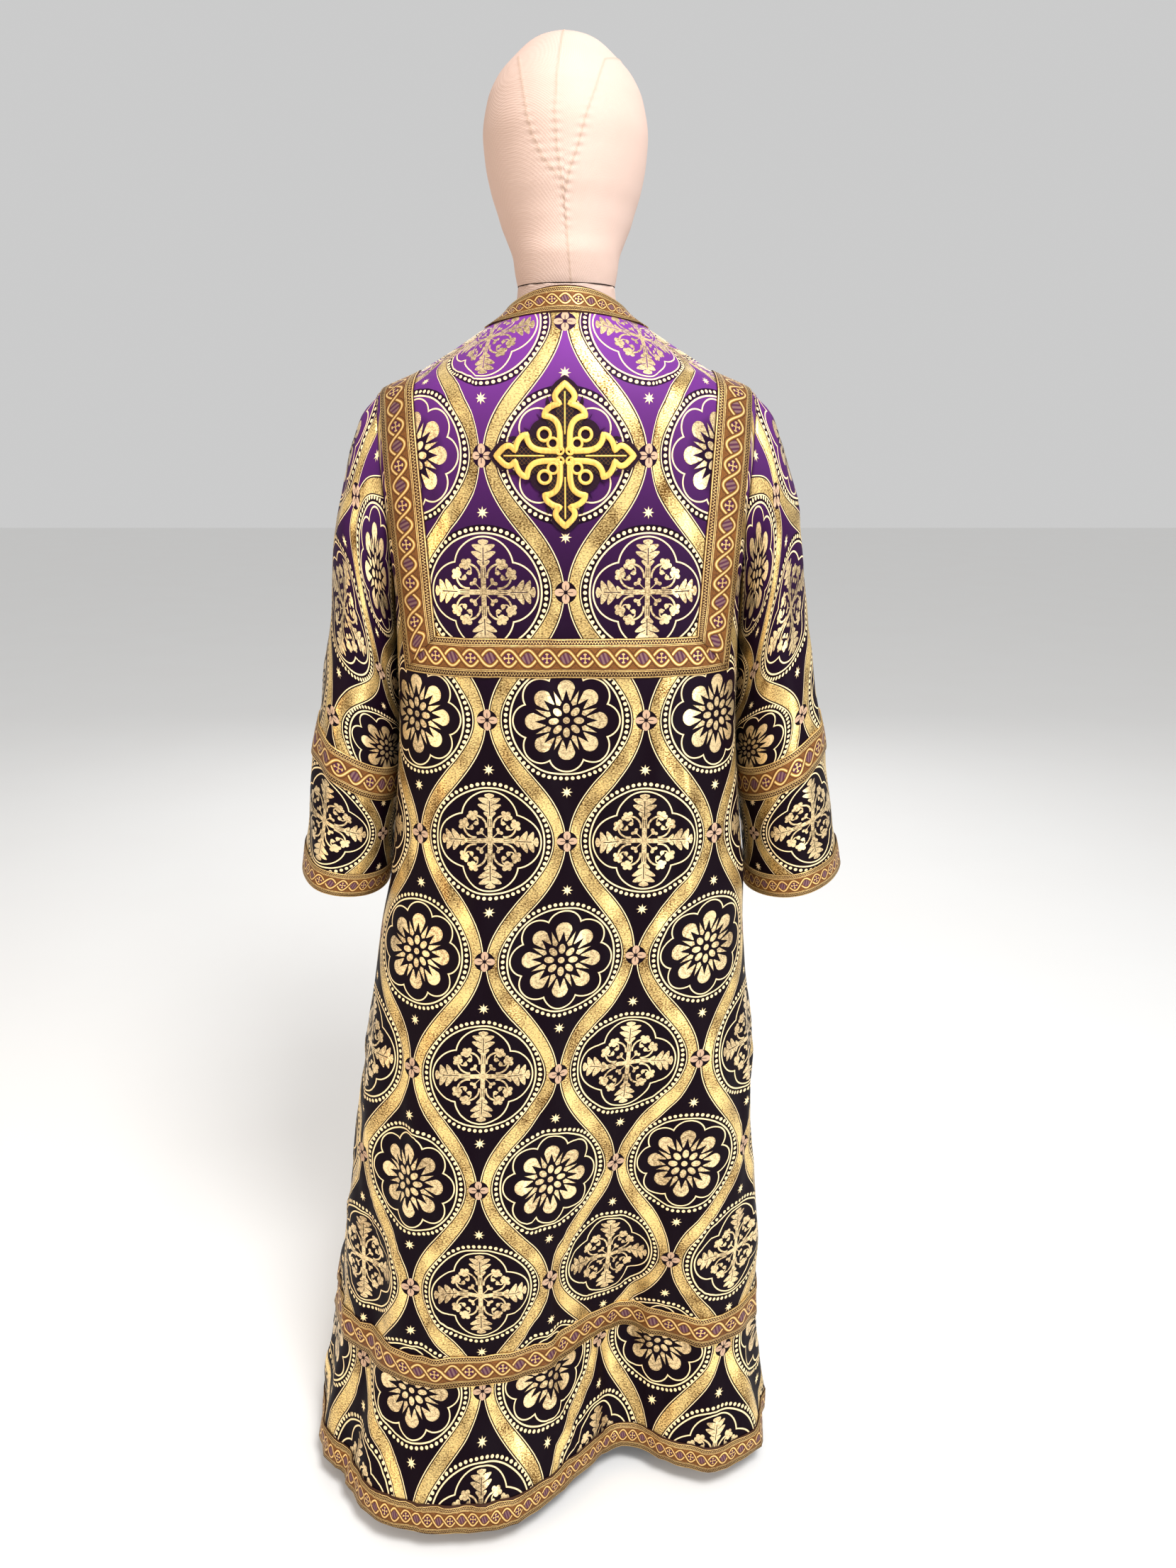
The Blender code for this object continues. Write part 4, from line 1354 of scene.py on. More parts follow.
@dataclass(frozen=True)
class Brocade:
    """Purple satin woven with gold roundels and bands, its ground with a painted sheen:
    brighter violet higher up, near-black lower down.
    """

    # Painted sheen: near-black aubergine up to dark_up above the hem, full violet at bright_up;
    # under_motifs holds it off the pattern's dark grounds.
    bright_up: float = 1.38
    dark_up: float = 0.80
    under_motifs: float = 0.9
    relief_depth: float = 0.0005
    specular: float = 0.06
    metal_share: float = 0.7
    rough_satin: float = 0.55
    rough_gold: float = 0.32

    def build(self, pattern: NodeTree, grain: NodeTree) -> Material:
        """Make the material.

        Args:
            pattern: The brocade pattern's group.
            grain: The metal grain's group.

        Returns:
            The material.
        """
        dress = Dresser("brocade")
        masks = dress.group(pattern)
        metal = dress.group(grain)
        height = dress.axes()[2]
        # Painted sheen: the violet ground is painted brighter with height, except on the pattern's dark
        # grounds.
        span = self.bright_up - self.dark_up
        painted_sheen = (height - HEM_HEIGHT - self.dark_up).math("DIVIDE", span, clamp=True)
        painted_sheen = painted_sheen * painted_sheen
        painted_sheen = painted_sheen * painted_sheen * (1.0 - masks["Dark"] * self.under_motifs)
        ground = dress.mix(painted_sheen, Palette.AUBERGINE, Palette.VIOLET)
        # Gold tone: the fleck paints glints together with the thread's speckle; the drift is random tone.
        gold_share = (metal["Fleck"] * 0.6 + metal["Drift"] * 2.2 - 0.8).kept()
        gold = dress.mix(gold_share, Palette.DEEP_GOLD, Palette.PALE_GOLD)
        motif_share = gold_share * 0.75 + 0.42 - masks["Hatch"] * 0.25
        motif_gold = dress.mix(motif_share.kept(), Palette.DEEP_GOLD, Palette.CREAM)
        colour = ground
        for title, tone in (("Band", gold), ("Motif", motif_gold), ("Line", Palette.CREAM),
                            ("Flower", Palette.ROSE)):
            colour = dress.mix(masks[title], colour, tone)
        gilt = masks["Band"].most(masks["Motif"])
        raised = gilt.most(masks["Line"]).most(masks["Flower"])
        relief = raised * 0.55 + metal["Relief"] * (gilt * 0.35 + 0.10)
        dress.plain(Specular_IOR_Level=self.specular)
        roughness = self.rough_satin - gilt * (self.rough_satin - self.rough_gold)
        return dress.finish(colour, relief, self.relief_depth, roughness, gilt * self.metal_share)


@dataclass(frozen=True)
class Galloon:
    """Gold woven galloon."""

    name: str
    scale: float
    relief_depth: float = 0.0003
    specular: float = 0.15
    metal_share: float = 0.4

    def build(self, pattern: NodeTree, grain: NodeTree) -> Material:
        """Make the material.

        Args:
            pattern: The galloon pattern's group.
            grain: The metal grain's group.

        Returns:
            The material.
        """
        dress = Dresser(self.name)
        masks = dress.group(pattern, Scale=self.scale)
        metal = dress.group(grain)
        # Field gold: the fleck paints glints together with the thread's speckle.
        share = (metal["Fleck"] * 0.30 + metal["Drift"] * 0.6 + 0.15).kept()
        field_gold = dress.mix(share, Palette.BRONZE, Palette.OCHRE)
        # Painted highlight: the cords are painted pale gold along their crests.
        cord_gold = dress.mix(masks["Shine"] * 0.8, Palette.OCHRE, Palette.PALE_GOLD)
        purple = dress.mix(masks["Hatch"] * 0.3, Palette.PLUM, Palette.ROSE)
        line_gold = dress.mix(share, Palette.OCHRE, Palette.PALE_GOLD)
        colour = field_gold
        for title, tone in (("Purple", purple), ("Dark", Palette.BRONZE), ("Cord", cord_gold),
                            ("Line", line_gold)):
            colour = dress.mix(masks[title], colour, tone)
        relief = masks["Cord"].most(masks["Line"] * 0.6) * 0.7 + metal["Relief"] * 0.2
        dress.plain(Specular_IOR_Level=self.specular)
        gilt = masks["Cord"].most(masks["Line"]) * self.metal_share
        return dress.finish(colour, relief, self.relief_depth, 0.58 - gilt * 0.3, gilt)


@dataclass(frozen=True)
class PlainCloth:
    """A plain cloth with a fine weave: linen, lining or felt."""

    name: str
    tone: Palette
    shade: Palette
    roughness: float
    weave: float
    depth: float
    slub: float = 9.0
    seam_share: float = 0.6

    def build(self) -> Material:
        """Make the material, with slubs and a woven relief on Object coordinates.

        Returns:
            The material, darker where a piece's own "seam" values mark its seams.
        """
        dress = Dresser(self.name)
        x, y, z = dress.axes()
        warp = ((x + y) * self.weave).sin()
        weft = (z * self.weave).sin()
        cloth = dress.noise(self.slub, 4.0)
        share = ((cloth - 0.5) * 0.9 + 0.3 + warp * weft * 0.06).kept()
        colour = dress.mix(share, self.tone, self.shade)
        seam = dress.add("ShaderNodeAttribute")
        seam.attribute_name = "seam"
        mark = Wire(dress.tree, seam.outputs["Fac"]) * self.seam_share
        colour = dress.mix(mark, colour, Palette.SEAM)
        dress.plain(Roughness=self.roughness, Specular_IOR_Level=0.15)
        return dress.finish(colour, warp * weft * 0.5 + cloth * 0.5, self.depth)


@dataclass(frozen=True)
class GoldThread:
    """Laid gold thread: fine ridges with a warm drift of tone."""

    def build(self, grain: NodeTree) -> Material:
        """Make the material on Object coordinates."""
        dress = Dresser("gold_thread")
        metal = dress.group(grain, "Object")
        # Stitch gold: the fleck paints glints together with the thread's speckle.
        share = (metal["Fleck"] * 0.35 + metal["Drift"] * 1.1 + 0.05).kept()
        warm = dress.mix(share, Palette.STITCH_SHADE, Palette.STITCH)
        dress.plain(Sheen_Weight=0.1)
        return dress.finish(warm, metal["Relief"], 0.00015, 0.42 + share * 0.1, share * 0.3 + 0.1)


@dataclass(frozen=True)
class NetGround:
    """Dark ground of the cross under a diamond net of light thread."""

    pitch: float = 0.0042

    def build(self) -> Material:
        """Make the material on Object coordinates."""
        dress = Dresser("net_ground")
        x, _, z = dress.axes()
        threads = (x + z).fold(self.pitch / 2).least((x - z).fold(self.pitch / 2))
        net = (threads * 1000.0).below(0.16, 0.15)
        colour = dress.mix(net * 0.75, Palette.AUBERGINE, Palette.OCHRE)
        dress.plain(Roughness=0.6, Specular_IOR_Level=0.2)
        return dress.finish(colour, net, 0.0002)


@dataclass(frozen=True)
class SatinPaint:
    """Black satin paint on steel."""

    def build(self) -> Material:
        """Make the material, with a slight orange-peel relief."""
        dress = Dresser("satin_paint")
        peel = dress.noise(600.0)
        colour = dress.mix(peel * 0.3, Palette.BLACK, Palette.AUBERGINE)
        return dress.finish(colour, peel, 0.00005, peel * 0.1 + 0.35)


class Finishes:
    """All the materials, each built once."""

    def __init__(self) -> None:
        """Build the shared groups and the materials."""
        grain = MetalGrain().build()
        galloon = GalloonPattern().build()
        self.brocade = Brocade().build(BrocadePattern().build(), grain)
        self.wide_galloon = Galloon("wide_galloon", 1.0).build(galloon, grain)
        self.narrow_galloon = Galloon("narrow_galloon", 1.5).build(galloon, grain)
        self.lining = PlainCloth("lining", Palette.PLUM, Palette.AUBERGINE, 0.5, 3000, 0.0001).build()
        self.felt = PlainCloth("felt", Palette.DARK_FELT, Palette.AUBERGINE, 0.95, 1500, 0.0002).build()
        self.linen = PlainCloth("linen", Palette.LINEN, Palette.LINEN_SHADE, 0.85, 2600, 0.0002).build()
        self.gold_thread = GoldThread().build(grain)
        self.net = NetGround().build()
        self.paint = SatinPaint().build()


# The garment


@dataclass
class Panel:
    """The back or the front panel, from hem to shoulder seams."""

    shape: BodyShape
    side: Side
    row_step: float = 0.0125
    angle_step: float = 4.5
    marks: tuple[float, ...] = (0.0, 0.028, 0.150, 0.190, 0.981, 1.022)
    cross_up: float = 1.201
    cross_clear: Pair = (0.085, 0.130)
    sleeve_clear: Pair = (0.120, 0.165)
    sleeve_end: Pair = (0.52, 0.62)
    yoke_start: Pair = (0.95, 1.00)
    smooth_top: Pair = (1.27, 1.32)
    long_crease: float = 0.0065
    fine_crease: float = 0.0030
    slant: float = 0.35

    def __post_init__(self) -> None:
        """Work out the panel's grid."""
        self.columns = self.shape.columns(self.side)
        self.low_ups = self.row_heights()
        self.angles = np.arange(-90, 90 + self.angle_step / 2, self.angle_step)
        self.grid = self.make_grid()

    def row_heights(self) -> list[float]:
        """Heights of the rows below the armpit, with the edges of the galloons among them."""
        ups = []
        for low, high in zip(self.marks, self.marks[1:] + (self.shape.armpit,)):
            count = max(1, round((high - low) / self.row_step))
            ups += [low + (high - low) * i / count for i in range(count)]
        return ups

    def make_grid(self) -> ClothGrid:
        """The panel's points, directions and map.

        Returns:
            The grid, its rows from the hem up and its columns from -X to +X.
        """
        rows, runs = [], []
        for up in self.low_ups:
            left = self.shape.low_row(up, self.side, -1, self.columns)
            right = self.shape.low_row(up, self.side, 1, self.columns)
            rows.append(np.concatenate([left[:0:-1, :3], right[:, :3]]))
            runs.append(np.concatenate([-left[:0:-1, 3], right[:, 3]]))
        for angle in self.angles:
            right = self.shape.high_row(angle, self.side, self.columns)
            rows.append(np.concatenate([right[:0:-1] * np.array([-1, 1, 1]), right]))
        points = np.array(rows)
        middle = points.shape[1] // 2
        across = lengths_along(points, 1)
        across -= across[:, middle:middle + 1]
        across[:len(runs)] = np.array(runs)
        grid = ClothGrid(points, self.normals(points), across, self.heights(points))
        return grid.crease(self.creases(points))

    def creases(self, points: Array) -> Array:
        """Depth of the small creases: long in the skirt, fine in the yoke, none under the sleeves.

        Args:
            points: The panel's points.

        Returns:
            A depth for each point, in metres.
        """
        x, up = points[..., 0], points[..., 2]
        sides = 1 - ramp(np.abs(x), *self.sleeve_clear) * ramp(up, *self.sleeve_end)
        cross = ramp(np.hypot(x, up - self.cross_up), *self.cross_clear)
        yoke = ramp(up, *self.yoke_start)
        edge = 1 - ramp(up, *self.smooth_top)
        long_ones = ripples(points, (34, 34, 5), 3.0) ** 1.5 * self.long_crease
        slanted = points + points[..., 2:] * np.array([self.slant, 0, 0])
        fine_ones = ripples(slanted, (55, 55, 14), 9.0) ** 2
        return (long_ones * (1 - yoke * 0.7) + fine_ones * self.fine_crease) * sides * cross * edge

    def heights(self, points: Array) -> Array:
        """The map's height: true height in the skirt, and length along the cloth above.

        Args:
            points: The panel's points.

        Returns:
            A height for each point, in metres from the hem.
        """
        low = len(self.low_ups)
        along = points[..., 2].copy()
        slope = np.diff(points[low - 1:, :, 1], axis=0)
        rise = np.diff(points[low - 1:, :, 2], axis=0)
        extra = np.cumsum(np.hypot(slope, rise) - np.abs(rise), axis=0)
        along[low:] += extra
        return along

    def normals(self, points: Array) -> Array:
        """Directions out of the cloth, shared by both panels along their seams.

        Args:
            points: The panel's points.

        Returns:
            A unit direction for each point.
        """
        out = cell_normals(points) * -self.side.value
        seam_rows = len(self.low_ups) + 1
        ends = points[-1]
        for half, edge in ((-1, 0), (1, -1)):
            out[:seam_rows, edge] = (half, 0, 0)
            inside = np.abs(ends[:, 0]) >= self.shape.neck_half - WELD
            chosen = inside & (ends[:, 0] * half > 0)
            slope = np.gradient(ends[chosen], axis=0)
            normal = np.stack([-slope[:, 2], np.zeros(len(slope)), slope[:, 0]], 1)
            out[-1, chosen] = normal / np.linalg.norm(normal, axis=1, keepdims=True)
        return out

    def row_at(self, up: float) -> int:
        """Number of the row at a galloon's edge."""
        return int(np.argmin(np.abs(np.array(self.low_ups) - up)))

    def column_at(self, number: float, half: int) -> int:
        """Place in the grid of a main column, counted from the centre line."""
        middle = self.grid.points.shape[1] // 2
        return middle + half * int(np.argmin(np.abs(self.columns.number - number)))

    def build(self, finishes: Finishes) -> None:
        """Make the panel and dress it.

        Args:
            finishes: The materials.
        """
        name = f"{self.side.name.lower()}_panel"
        hang_cloth(name, self.grid, finishes)


@dataclass
class Galloons:
    """The galloons sewn on the panels."""

    shape: BodyShape
    panels: dict[Side, Panel]
    mitre_gap: float = 0.0004
    corner_reach: float = 0.03

    def level(self, name: str, low: float, high: float, finish: Material) -> None:
        """A galloon round the skirt between two heights.

        Args:
            name: The CAD node that it stands for.
            low: Height of its lower edge.
            high: Height of its upper edge.
            finish: Its material.
        """
        grids = []
        total = 0.0
        for panel in self.panels.values():
            grid = panel.grid.cut(slice(panel.row_at(low), panel.row_at(high) + 1), slice(None))
            grid.along = grid.points[..., 2] - (low + high) / 2
            total += float(np.ptp(grid.across, axis=1).mean())
            grids.append(grid)
        lay_galloon(name, grids, finish, total)

    def yoke_foot(self, panel: Panel, finish: Material) -> None:
        """The galloon across the foot of the yoke, its ends mitred.

        Args:
            panel: The panel that it lies on.
            finish: Its material.
        """
        low, high = self.shape.yoke_foot, self.shape.yoke_trim_top
        cells = self.shape.neck_cells(panel.side)
        inner, outer = cells + 3, cells + 4
        rows = slice(panel.row_at(low), panel.row_at(high) + 1)
        columns = slice(panel.column_at(outer, -1), panel.column_at(outer, 1) + 1)
        grid = panel.grid.cut(rows, columns)
        grid.along = grid.points[..., 2] - (low + high) / 2
        share = (grid.points[:, :1, 2] - low) / (high - low)
        width = panel.column_at(outer, 1) - panel.column_at(inner, 1)
        self.mitre(grid, share, width)
        side = panel.side.name.lower()
        lay_galloon(f"yoke_trim_{side}", [grid], finish, float(np.ptp(grid.across)),
                    high - low)

    def mitre(self, grid: ClothGrid, share: Array, width: int) -> None:
        """Draw both ends of a level strip in along the diagonal of its corners.

        Args:
            grid: The strip.
            share: How high each row lies, from 0 at its foot to 1 at its top.
            width: Columns from the outer to the inner edge of the upright galloon.
        """
        count = grid.points.shape[1]
        places = np.arange(count, dtype=float)
        for row, part in enumerate(share[:, 0]):
            start = part * width
            stop = count - 1 - start
            wanted = start + (stop - start) * places / (count - 1)
            for values in (grid.points, grid.out):
                values[row] = slide(values[row], places, wanted)
            grid.across[row] = np.interp(wanted, places, grid.across[row])
            grid.points[row, 0, 0] += self.mitre_gap
            grid.points[row, -1, 0] -= self.mitre_gap

    def yoke_side(self, hand: Hand, finish: Material) -> None:
        """The galloon over one shoulder, down the back and the front of the yoke.

        Args:
            hand: The wearer's side.
            finish: Its material.
        """
        grids = []
        total = 0.0
        half = hand.value
        width = self.shape.yoke_trim_top - self.shape.yoke_foot
        for panel in self.panels.values():
            cells = self.shape.neck_cells(panel.side)
            ends = sorted((panel.column_at(cells + 3, half), panel.column_at(cells + 4, half)))
            start = panel.row_at(self.shape.yoke_foot)
            grid = panel.grid.cut(slice(start, None), slice(ends[0], ends[1] + 1))
            foot = grid.points[0, :, 2]
            corner = foot[0] + width * np.linspace(0, 1, grid.points.shape[1])[::half]
            grid = self.raise_foot(grid, corner[::-1] + self.mitre_gap)
            run = lengths_along(grid.points, 0)
            along = (run - run[-1]).mean(axis=1, keepdims=True) * panel.side.value
            across = lengths_along(grid.points, 1)
            grid.across = np.broadcast_to(along, across.shape)
            grid.along = (across / across[:, -1:] - 0.5) * width
            total += float(run[-1].max())
            grids.append(grid)
        lay_galloon(f"yoke_trim_{hand.name.lower()}", grids, finish, total)

    def raise_foot(self, grid: ClothGrid, corner: Array) -> ClothGrid:
        """Squeeze a strip's lowest rows up to a slanting foot.

        Args:
            grid: The strip.
            corner: Height of the foot in each column.

        Returns:
            The strip, with the same number of rows.
        """
        reach = corner.max() + self.corner_reach
        for column, foot in enumerate(corner):
            ups = grid.points[:, column, 2].copy()
            low = ups[0]
            wanted = np.where(ups < reach, foot + (ups - low) * (reach - foot) / (reach - low), ups)
            for values in (grid.points, grid.out):
                values[:, column] = slide(values[:, column], ups, wanted)
        return grid

    def neck(self, finish: Material) -> None:
        """The galloon round the neckline.

        Args:
            finish: Its material.
        """
        grids = []
        total = 0.0
        for panel in self.panels.values():
            cells = self.shape.neck_cells(panel.side)
            foot = int(np.argmin(np.abs(panel.angles - (90 - self.shape.arm_step))))
            columns = slice(panel.column_at(cells + 1, -1), panel.column_at(cells + 1, 1) + 1)
            grid = panel.grid.cut(slice(len(panel.low_ups) + foot, None), columns)
            run = lengths_along(grid.points, 1)
            run = run - run[:, -1:] / 2
            width = lengths_along(grid.points, 0)
            grid.across = run * (run[0].max() + run[-1].max()) / (run.max(axis=1, keepdims=True) * 2)
            grid.along = width - width[-1:] / 2
            total += float(np.ptp(grid.across, axis=1).mean())
            grids.append(grid)
        lay_galloon("neck_trim", grids, finish, total)

    def build(self, finishes: Finishes) -> None:
        """Make all the galloons of the panels.

        Args:
            finishes: The materials.
        """
        hem_foot, hem_top, low_foot, low_top = Panel.marks[:4]
        self.level("hem_trim", hem_foot, hem_top, finishes.narrow_galloon)
        self.level("lower_trim", low_foot, low_top, finishes.wide_galloon)
        for panel in self.panels.values():
            self.yoke_foot(panel, finishes.wide_galloon)
        for hand in Hand:
            self.yoke_side(hand, finishes.wide_galloon)
        self.neck(finishes.narrow_galloon)


@dataclass
class Sleeve:
    """One wide sleeve with an upper and a cuff galloon."""

    shape: BodyShape
    hand: Hand
    rings: tuple[Ring, ...] = (
        Ring(0.2000, 1.258, 1.050, 0.0590, 0.000),
        Ring(0.2170, 1.240, 1.036, 0.0615, 0.000),
        Ring(0.2270, 1.213, 1.020, 0.0650, 0.000),
        Ring(0.2410, 1.168, 0.998, 0.0700, 0.002),
        Ring(0.2490, 1.115, 0.970, 0.0740, 0.004),
        Ring(0.2585, 1.055, 0.935, 0.0770, 0.006),
        Ring(0.2715, 0.985, 0.895, 0.0790, 0.008),
        Ring(0.2855, 0.915, 0.855, 0.0800, 0.010),
        Ring(0.2915, 0.876, 0.816, 0.0810, 0.011),
        Ring(0.3000, 0.820, 0.778, 0.0810, 0.013),
        Ring(0.3135, 0.760, 0.733, 0.0830, 0.015),
        Ring(0.3200, 0.733, 0.706, 0.0840, 0.016),
    )
    fine: int = 5
    angle_step: float = 5.0
    gap: float = 0.0005
    clearance: float = 0.0050
    flare: float = 0.96
    fold: float = 0.005
    blend: float = 3.0
    crease_depth: float = 0.0060
    trims: tuple[tuple[str, int, float], ...] = (("sleeve_trim_", 7, 0.040), ("cuff_trim_", 10, 0.027))

    def ring_curve(self, name: str) -> Curve:
        """A smooth curve through one column of the rings."""
        return smooth_curve(range(len(self.rings)), [getattr(ring, name) for ring in self.rings])

    def make_grid(self) -> ClothGrid:
        """The sleeve's points, directions and map, closed on its first column.

        Returns:
            The grid, its rows from the armhole down.
        """
        half = self.hand.value
        last = len(self.rings) - 1
        flare = 1.0 if self.hand is Hand.RIGHT else self.flare
        angles = np.radians(np.arange(-90, 271, self.angle_step))
        lift = (1 + np.sin(angles)) / 2
        curve = {part.name: self.ring_curve(part.name) for part in fields(Ring)}
        hole_up = self.shape.armpit + (self.shape.shoulder_tip - self.shape.armpit) * lift
        hole_y = -self.shape.armhole_depth * np.cos(angles)
        hole_x = np.array([self.shape.armhole_x(u, d) for u, d in zip(hole_up, hole_y)])
        low_x = self.shape.seam_x(self.shape.armpit, 1)
        tip_x = float(self.shape.half_breadth(self.shape.shoulder_tip, 1))
        rings = []
        for k in np.arange(0, last + 0.5 / self.fine, 1 / self.fine):
            at = {name: float(read(k)) for name, read in curve.items()}
            outer_x = self.rings[0].outer_x + (at["outer_x"] - self.rings[0].outer_x) * flare
            inner_x = abs(self.shape.seam_x(at["inner_up"], half)) + self.gap + self.clearance * k / last
            x = inner_x + (outer_x + self.gap - inner_x) * lift
            up = at["inner_up"] + (at["outer_up"] - at["inner_up"]) * lift
            if k < self.blend:
                x = x + (hole_x - low_x - (tip_x - low_x) * lift) * (1 - k / self.blend)
            wave = self.fold * (k / last) ** 1.5 * np.cos(3 * angles + half) * lift
            y = -at["depth"] * np.cos(angles) * (1 + wave / at["depth"]) + at["swing"]
            rings.append(np.stack([half * x, y, up], 1))
        points = np.array(rings)
        out = cell_normals(points, closed=True) * -half
        out[0, :, 0] = 0
        out /= np.linalg.norm(out, axis=2, keepdims=True)
        outer = len(angles) // 2
        across = lengths_along(points, 1)
        across = (across - across[:, outer:outer + 1]) * half
        down = lengths_along(points, 0)[:, outer:outer + 1]
        along = np.broadcast_to(self.shape.shoulder_tip - down, across.shape)
        rows = np.linspace(0, last, len(rings))[:, None]
        outer_half = ramp(lift, 0.45, 0.70)[None, :] * ramp(rows, 0.8, 2.5)
        ripple = ripples(points, (26, 26, 15), 5.0) ** 1.5 * (1 - ramp(rows, 9.5, 11.0) * 0.7)
        return ClothGrid(points, out, across, along).crease(ripple * outer_half * self.crease_depth)

    def build(self, finishes: Finishes) -> None:
        """Make the sleeve and its galloons and dress them.

        Args:
            finishes: The materials.
        """
        hand = self.hand.name.lower()
        grid = self.make_grid()
        piece = hang_cloth(f"sleeve_{hand}", grid, finishes)
        looks = (finishes.wide_galloon, finishes.narrow_galloon)
        for (name, first, nominal), finish in zip(self.trims, looks):
            rows = slice(first * self.fine, (first + 1) * self.fine + 1)
            band = grid.cut(rows, slice(None))
            run = lengths_along(band.points, 0)
            band.along = (run / run[-1:] - 0.5) * nominal
            girth = float(np.ptp(band.across, axis=1).mean())
            lay_galloon(name + hand, [band], finish, girth)


@dataclass
class BackCross:
    """The raised cross between the shoulders: felt ground, net, and padded gold work."""

    shape: BodyShape
    up: float = 1.201
    arm: tuple[Pair, ...] = (
        (0.0705, 0.0), (0.0655, 0.0055), (0.0600, 0.0105), (0.0560, 0.0124), (0.0520, 0.0105),
        (0.0490, 0.0075), (0.0485, 0.0110), (0.0465, 0.0160), (0.0425, 0.0205), (0.0385, 0.0225),
        (0.0360, 0.0222), (0.0350, 0.0185), (0.0335, 0.0145), (0.0300, 0.0100), (0.0240, 0.0082),
        (0.0160, 0.0075), (0.0070, 0.0070),
    )
    cord_line: tuple[Pair, ...] = (
        (0.0672, 0.0), (0.0628, 0.0046), (0.0585, 0.0083), (0.0545, 0.0094), (0.0510, 0.0076),
        (0.0487, 0.0052), (0.0474, 0.0098), (0.0448, 0.0150), (0.0415, 0.0183), (0.0372, 0.0200),
        (0.0366, 0.0158), (0.0345, 0.0112), (0.0305, 0.0075), (0.0240, 0.0054), (0.0160, 0.0048),
        (0.0048, 0.0048),
    )
    sharp: tuple[int, ...] = (0, 5, 9)
    border: float = 0.0030
    felt_margin: float = 0.0046
    corner_felt: float = 0.0145
    lift: float = 0.0006
    felt_thick: float = 0.0012
    gold_thick: float = 0.0028
    net_thick: float = 0.0008
    rings: tuple[Triple, ...] = (
        (0.0200, 0.0059, 0.0017), (0.0118, 0.0049, 0.0014), (0.0050, 0.0036, 0.0012),
    )
    vein: tuple[float, ...] = (0.020, 0.035, 0.050, 0.060)
    vein_half: float = 0.0008
    vein_height: float = 0.0012
    vein_lift: float = 0.0004
    play: float = 0.0001
    cell: float = 0.008
    cells: int = 9

    def turn(self, along: float, across: float, quarter: int) -> Pair:
        """A point of the first arm carried to another arm.

        Args:
            along: Place along the first arm.
            across: Place across it.
            quarter: Number of the other arm.

        Returns:
            The point's x and z from the middle.
        """
        angle = math.pi / 2 * quarter
        x = across * math.cos(angle) + along * math.sin(angle)
        return x, along * math.cos(angle) - across * math.sin(angle)

    def whole_arm(self, table: tuple[Pair, ...]) -> list[Pair]:
        """Both halves of an arm from the table of one half."""
        return [(along, -across) for along, across in table[:0:-1]] + list(table)

    def corners(self, place: float) -> list[Pair]:
        """The four places between the arms, as x and z."""
        return [(x, z) for x in (-place, place) for z in (-place, place)]

    def felt_path(self, quarter: int) -> list[Pair]:
        """One arm's outline, moved out by the felt's margin.

        Args:
            quarter: Number of the arm.

        Returns:
            The outline as x and z.
        """
        flat = np.array(self.whole_arm(self.arm))
        ahead = np.gradient(flat, axis=0)
        outward = np.stack([ahead[:, 1], -ahead[:, 0]], 1)
        outward /= np.linalg.norm(outward, axis=1, keepdims=True)
        return [self.turn(a, b, quarter) for a, b in flat + outward * self.felt_margin]

    def cord_path(self, quarter: int) -> list[Pair]:
        """The middle line of the gold edge of one arm."""
        return [self.turn(a, b, quarter) for a, b in self.whole_arm(self.cord_line)]

    def drape(self, mesh: Mesh, lift: float) -> None:
        """Lay a mesh that stands in the XZ plane, with its depth in Y, over the back.

        Args:
            mesh: The mesh.
            lift: How far its underside lies off the cloth.
        """
        for vert in mesh.verts:
            x, raised, up = vert.co.x, vert.co.y, vert.co.z + self.up
            depth = self.shape.surface_y(x, up, Side.BACK) - lift - raised
            vert.co = (x, depth + BODY_Y, up + HEM_HEIGHT)

    def plate(self, outline: list[Pair], thickness: float) -> Mesh:
        """A flat plate with an outline, cut fine enough to follow the cloth.

        Args:
            outline: Its outline as x and z.
            thickness: Its thickness, from Y 0 outwards.

        Returns:
            The plate.
        """
        mesh = bmesh.new()
        verts = [mesh.verts.new((x, 0.0, z)) for x, z in outline]
        bmesh.ops.contextual_create(mesh, geom=verts)
        for axis in ((1, 0, 0), (0, 0, 1)):
            for step in range(-self.cells, self.cells + 1):
                everything = mesh.verts[:] + mesh.edges[:] + mesh.faces[:]
                bmesh.ops.bisect_plane(mesh, geom=everything, dist=WELD * 2,
                                       plane_co=[step * self.cell * a for a in axis], plane_no=axis)
        bmesh.ops.triangulate(mesh, faces=mesh.faces[:])
        grown = bmesh.ops.extrude_face_region(mesh, geom=mesh.faces[:])
        for vert in grown["geom"]:
            if isinstance(vert, bmesh.types.BMVert):
                vert.co.y += thickness
        bmesh.ops.recalc_face_normals(mesh, faces=mesh.faces[:])
        return mesh

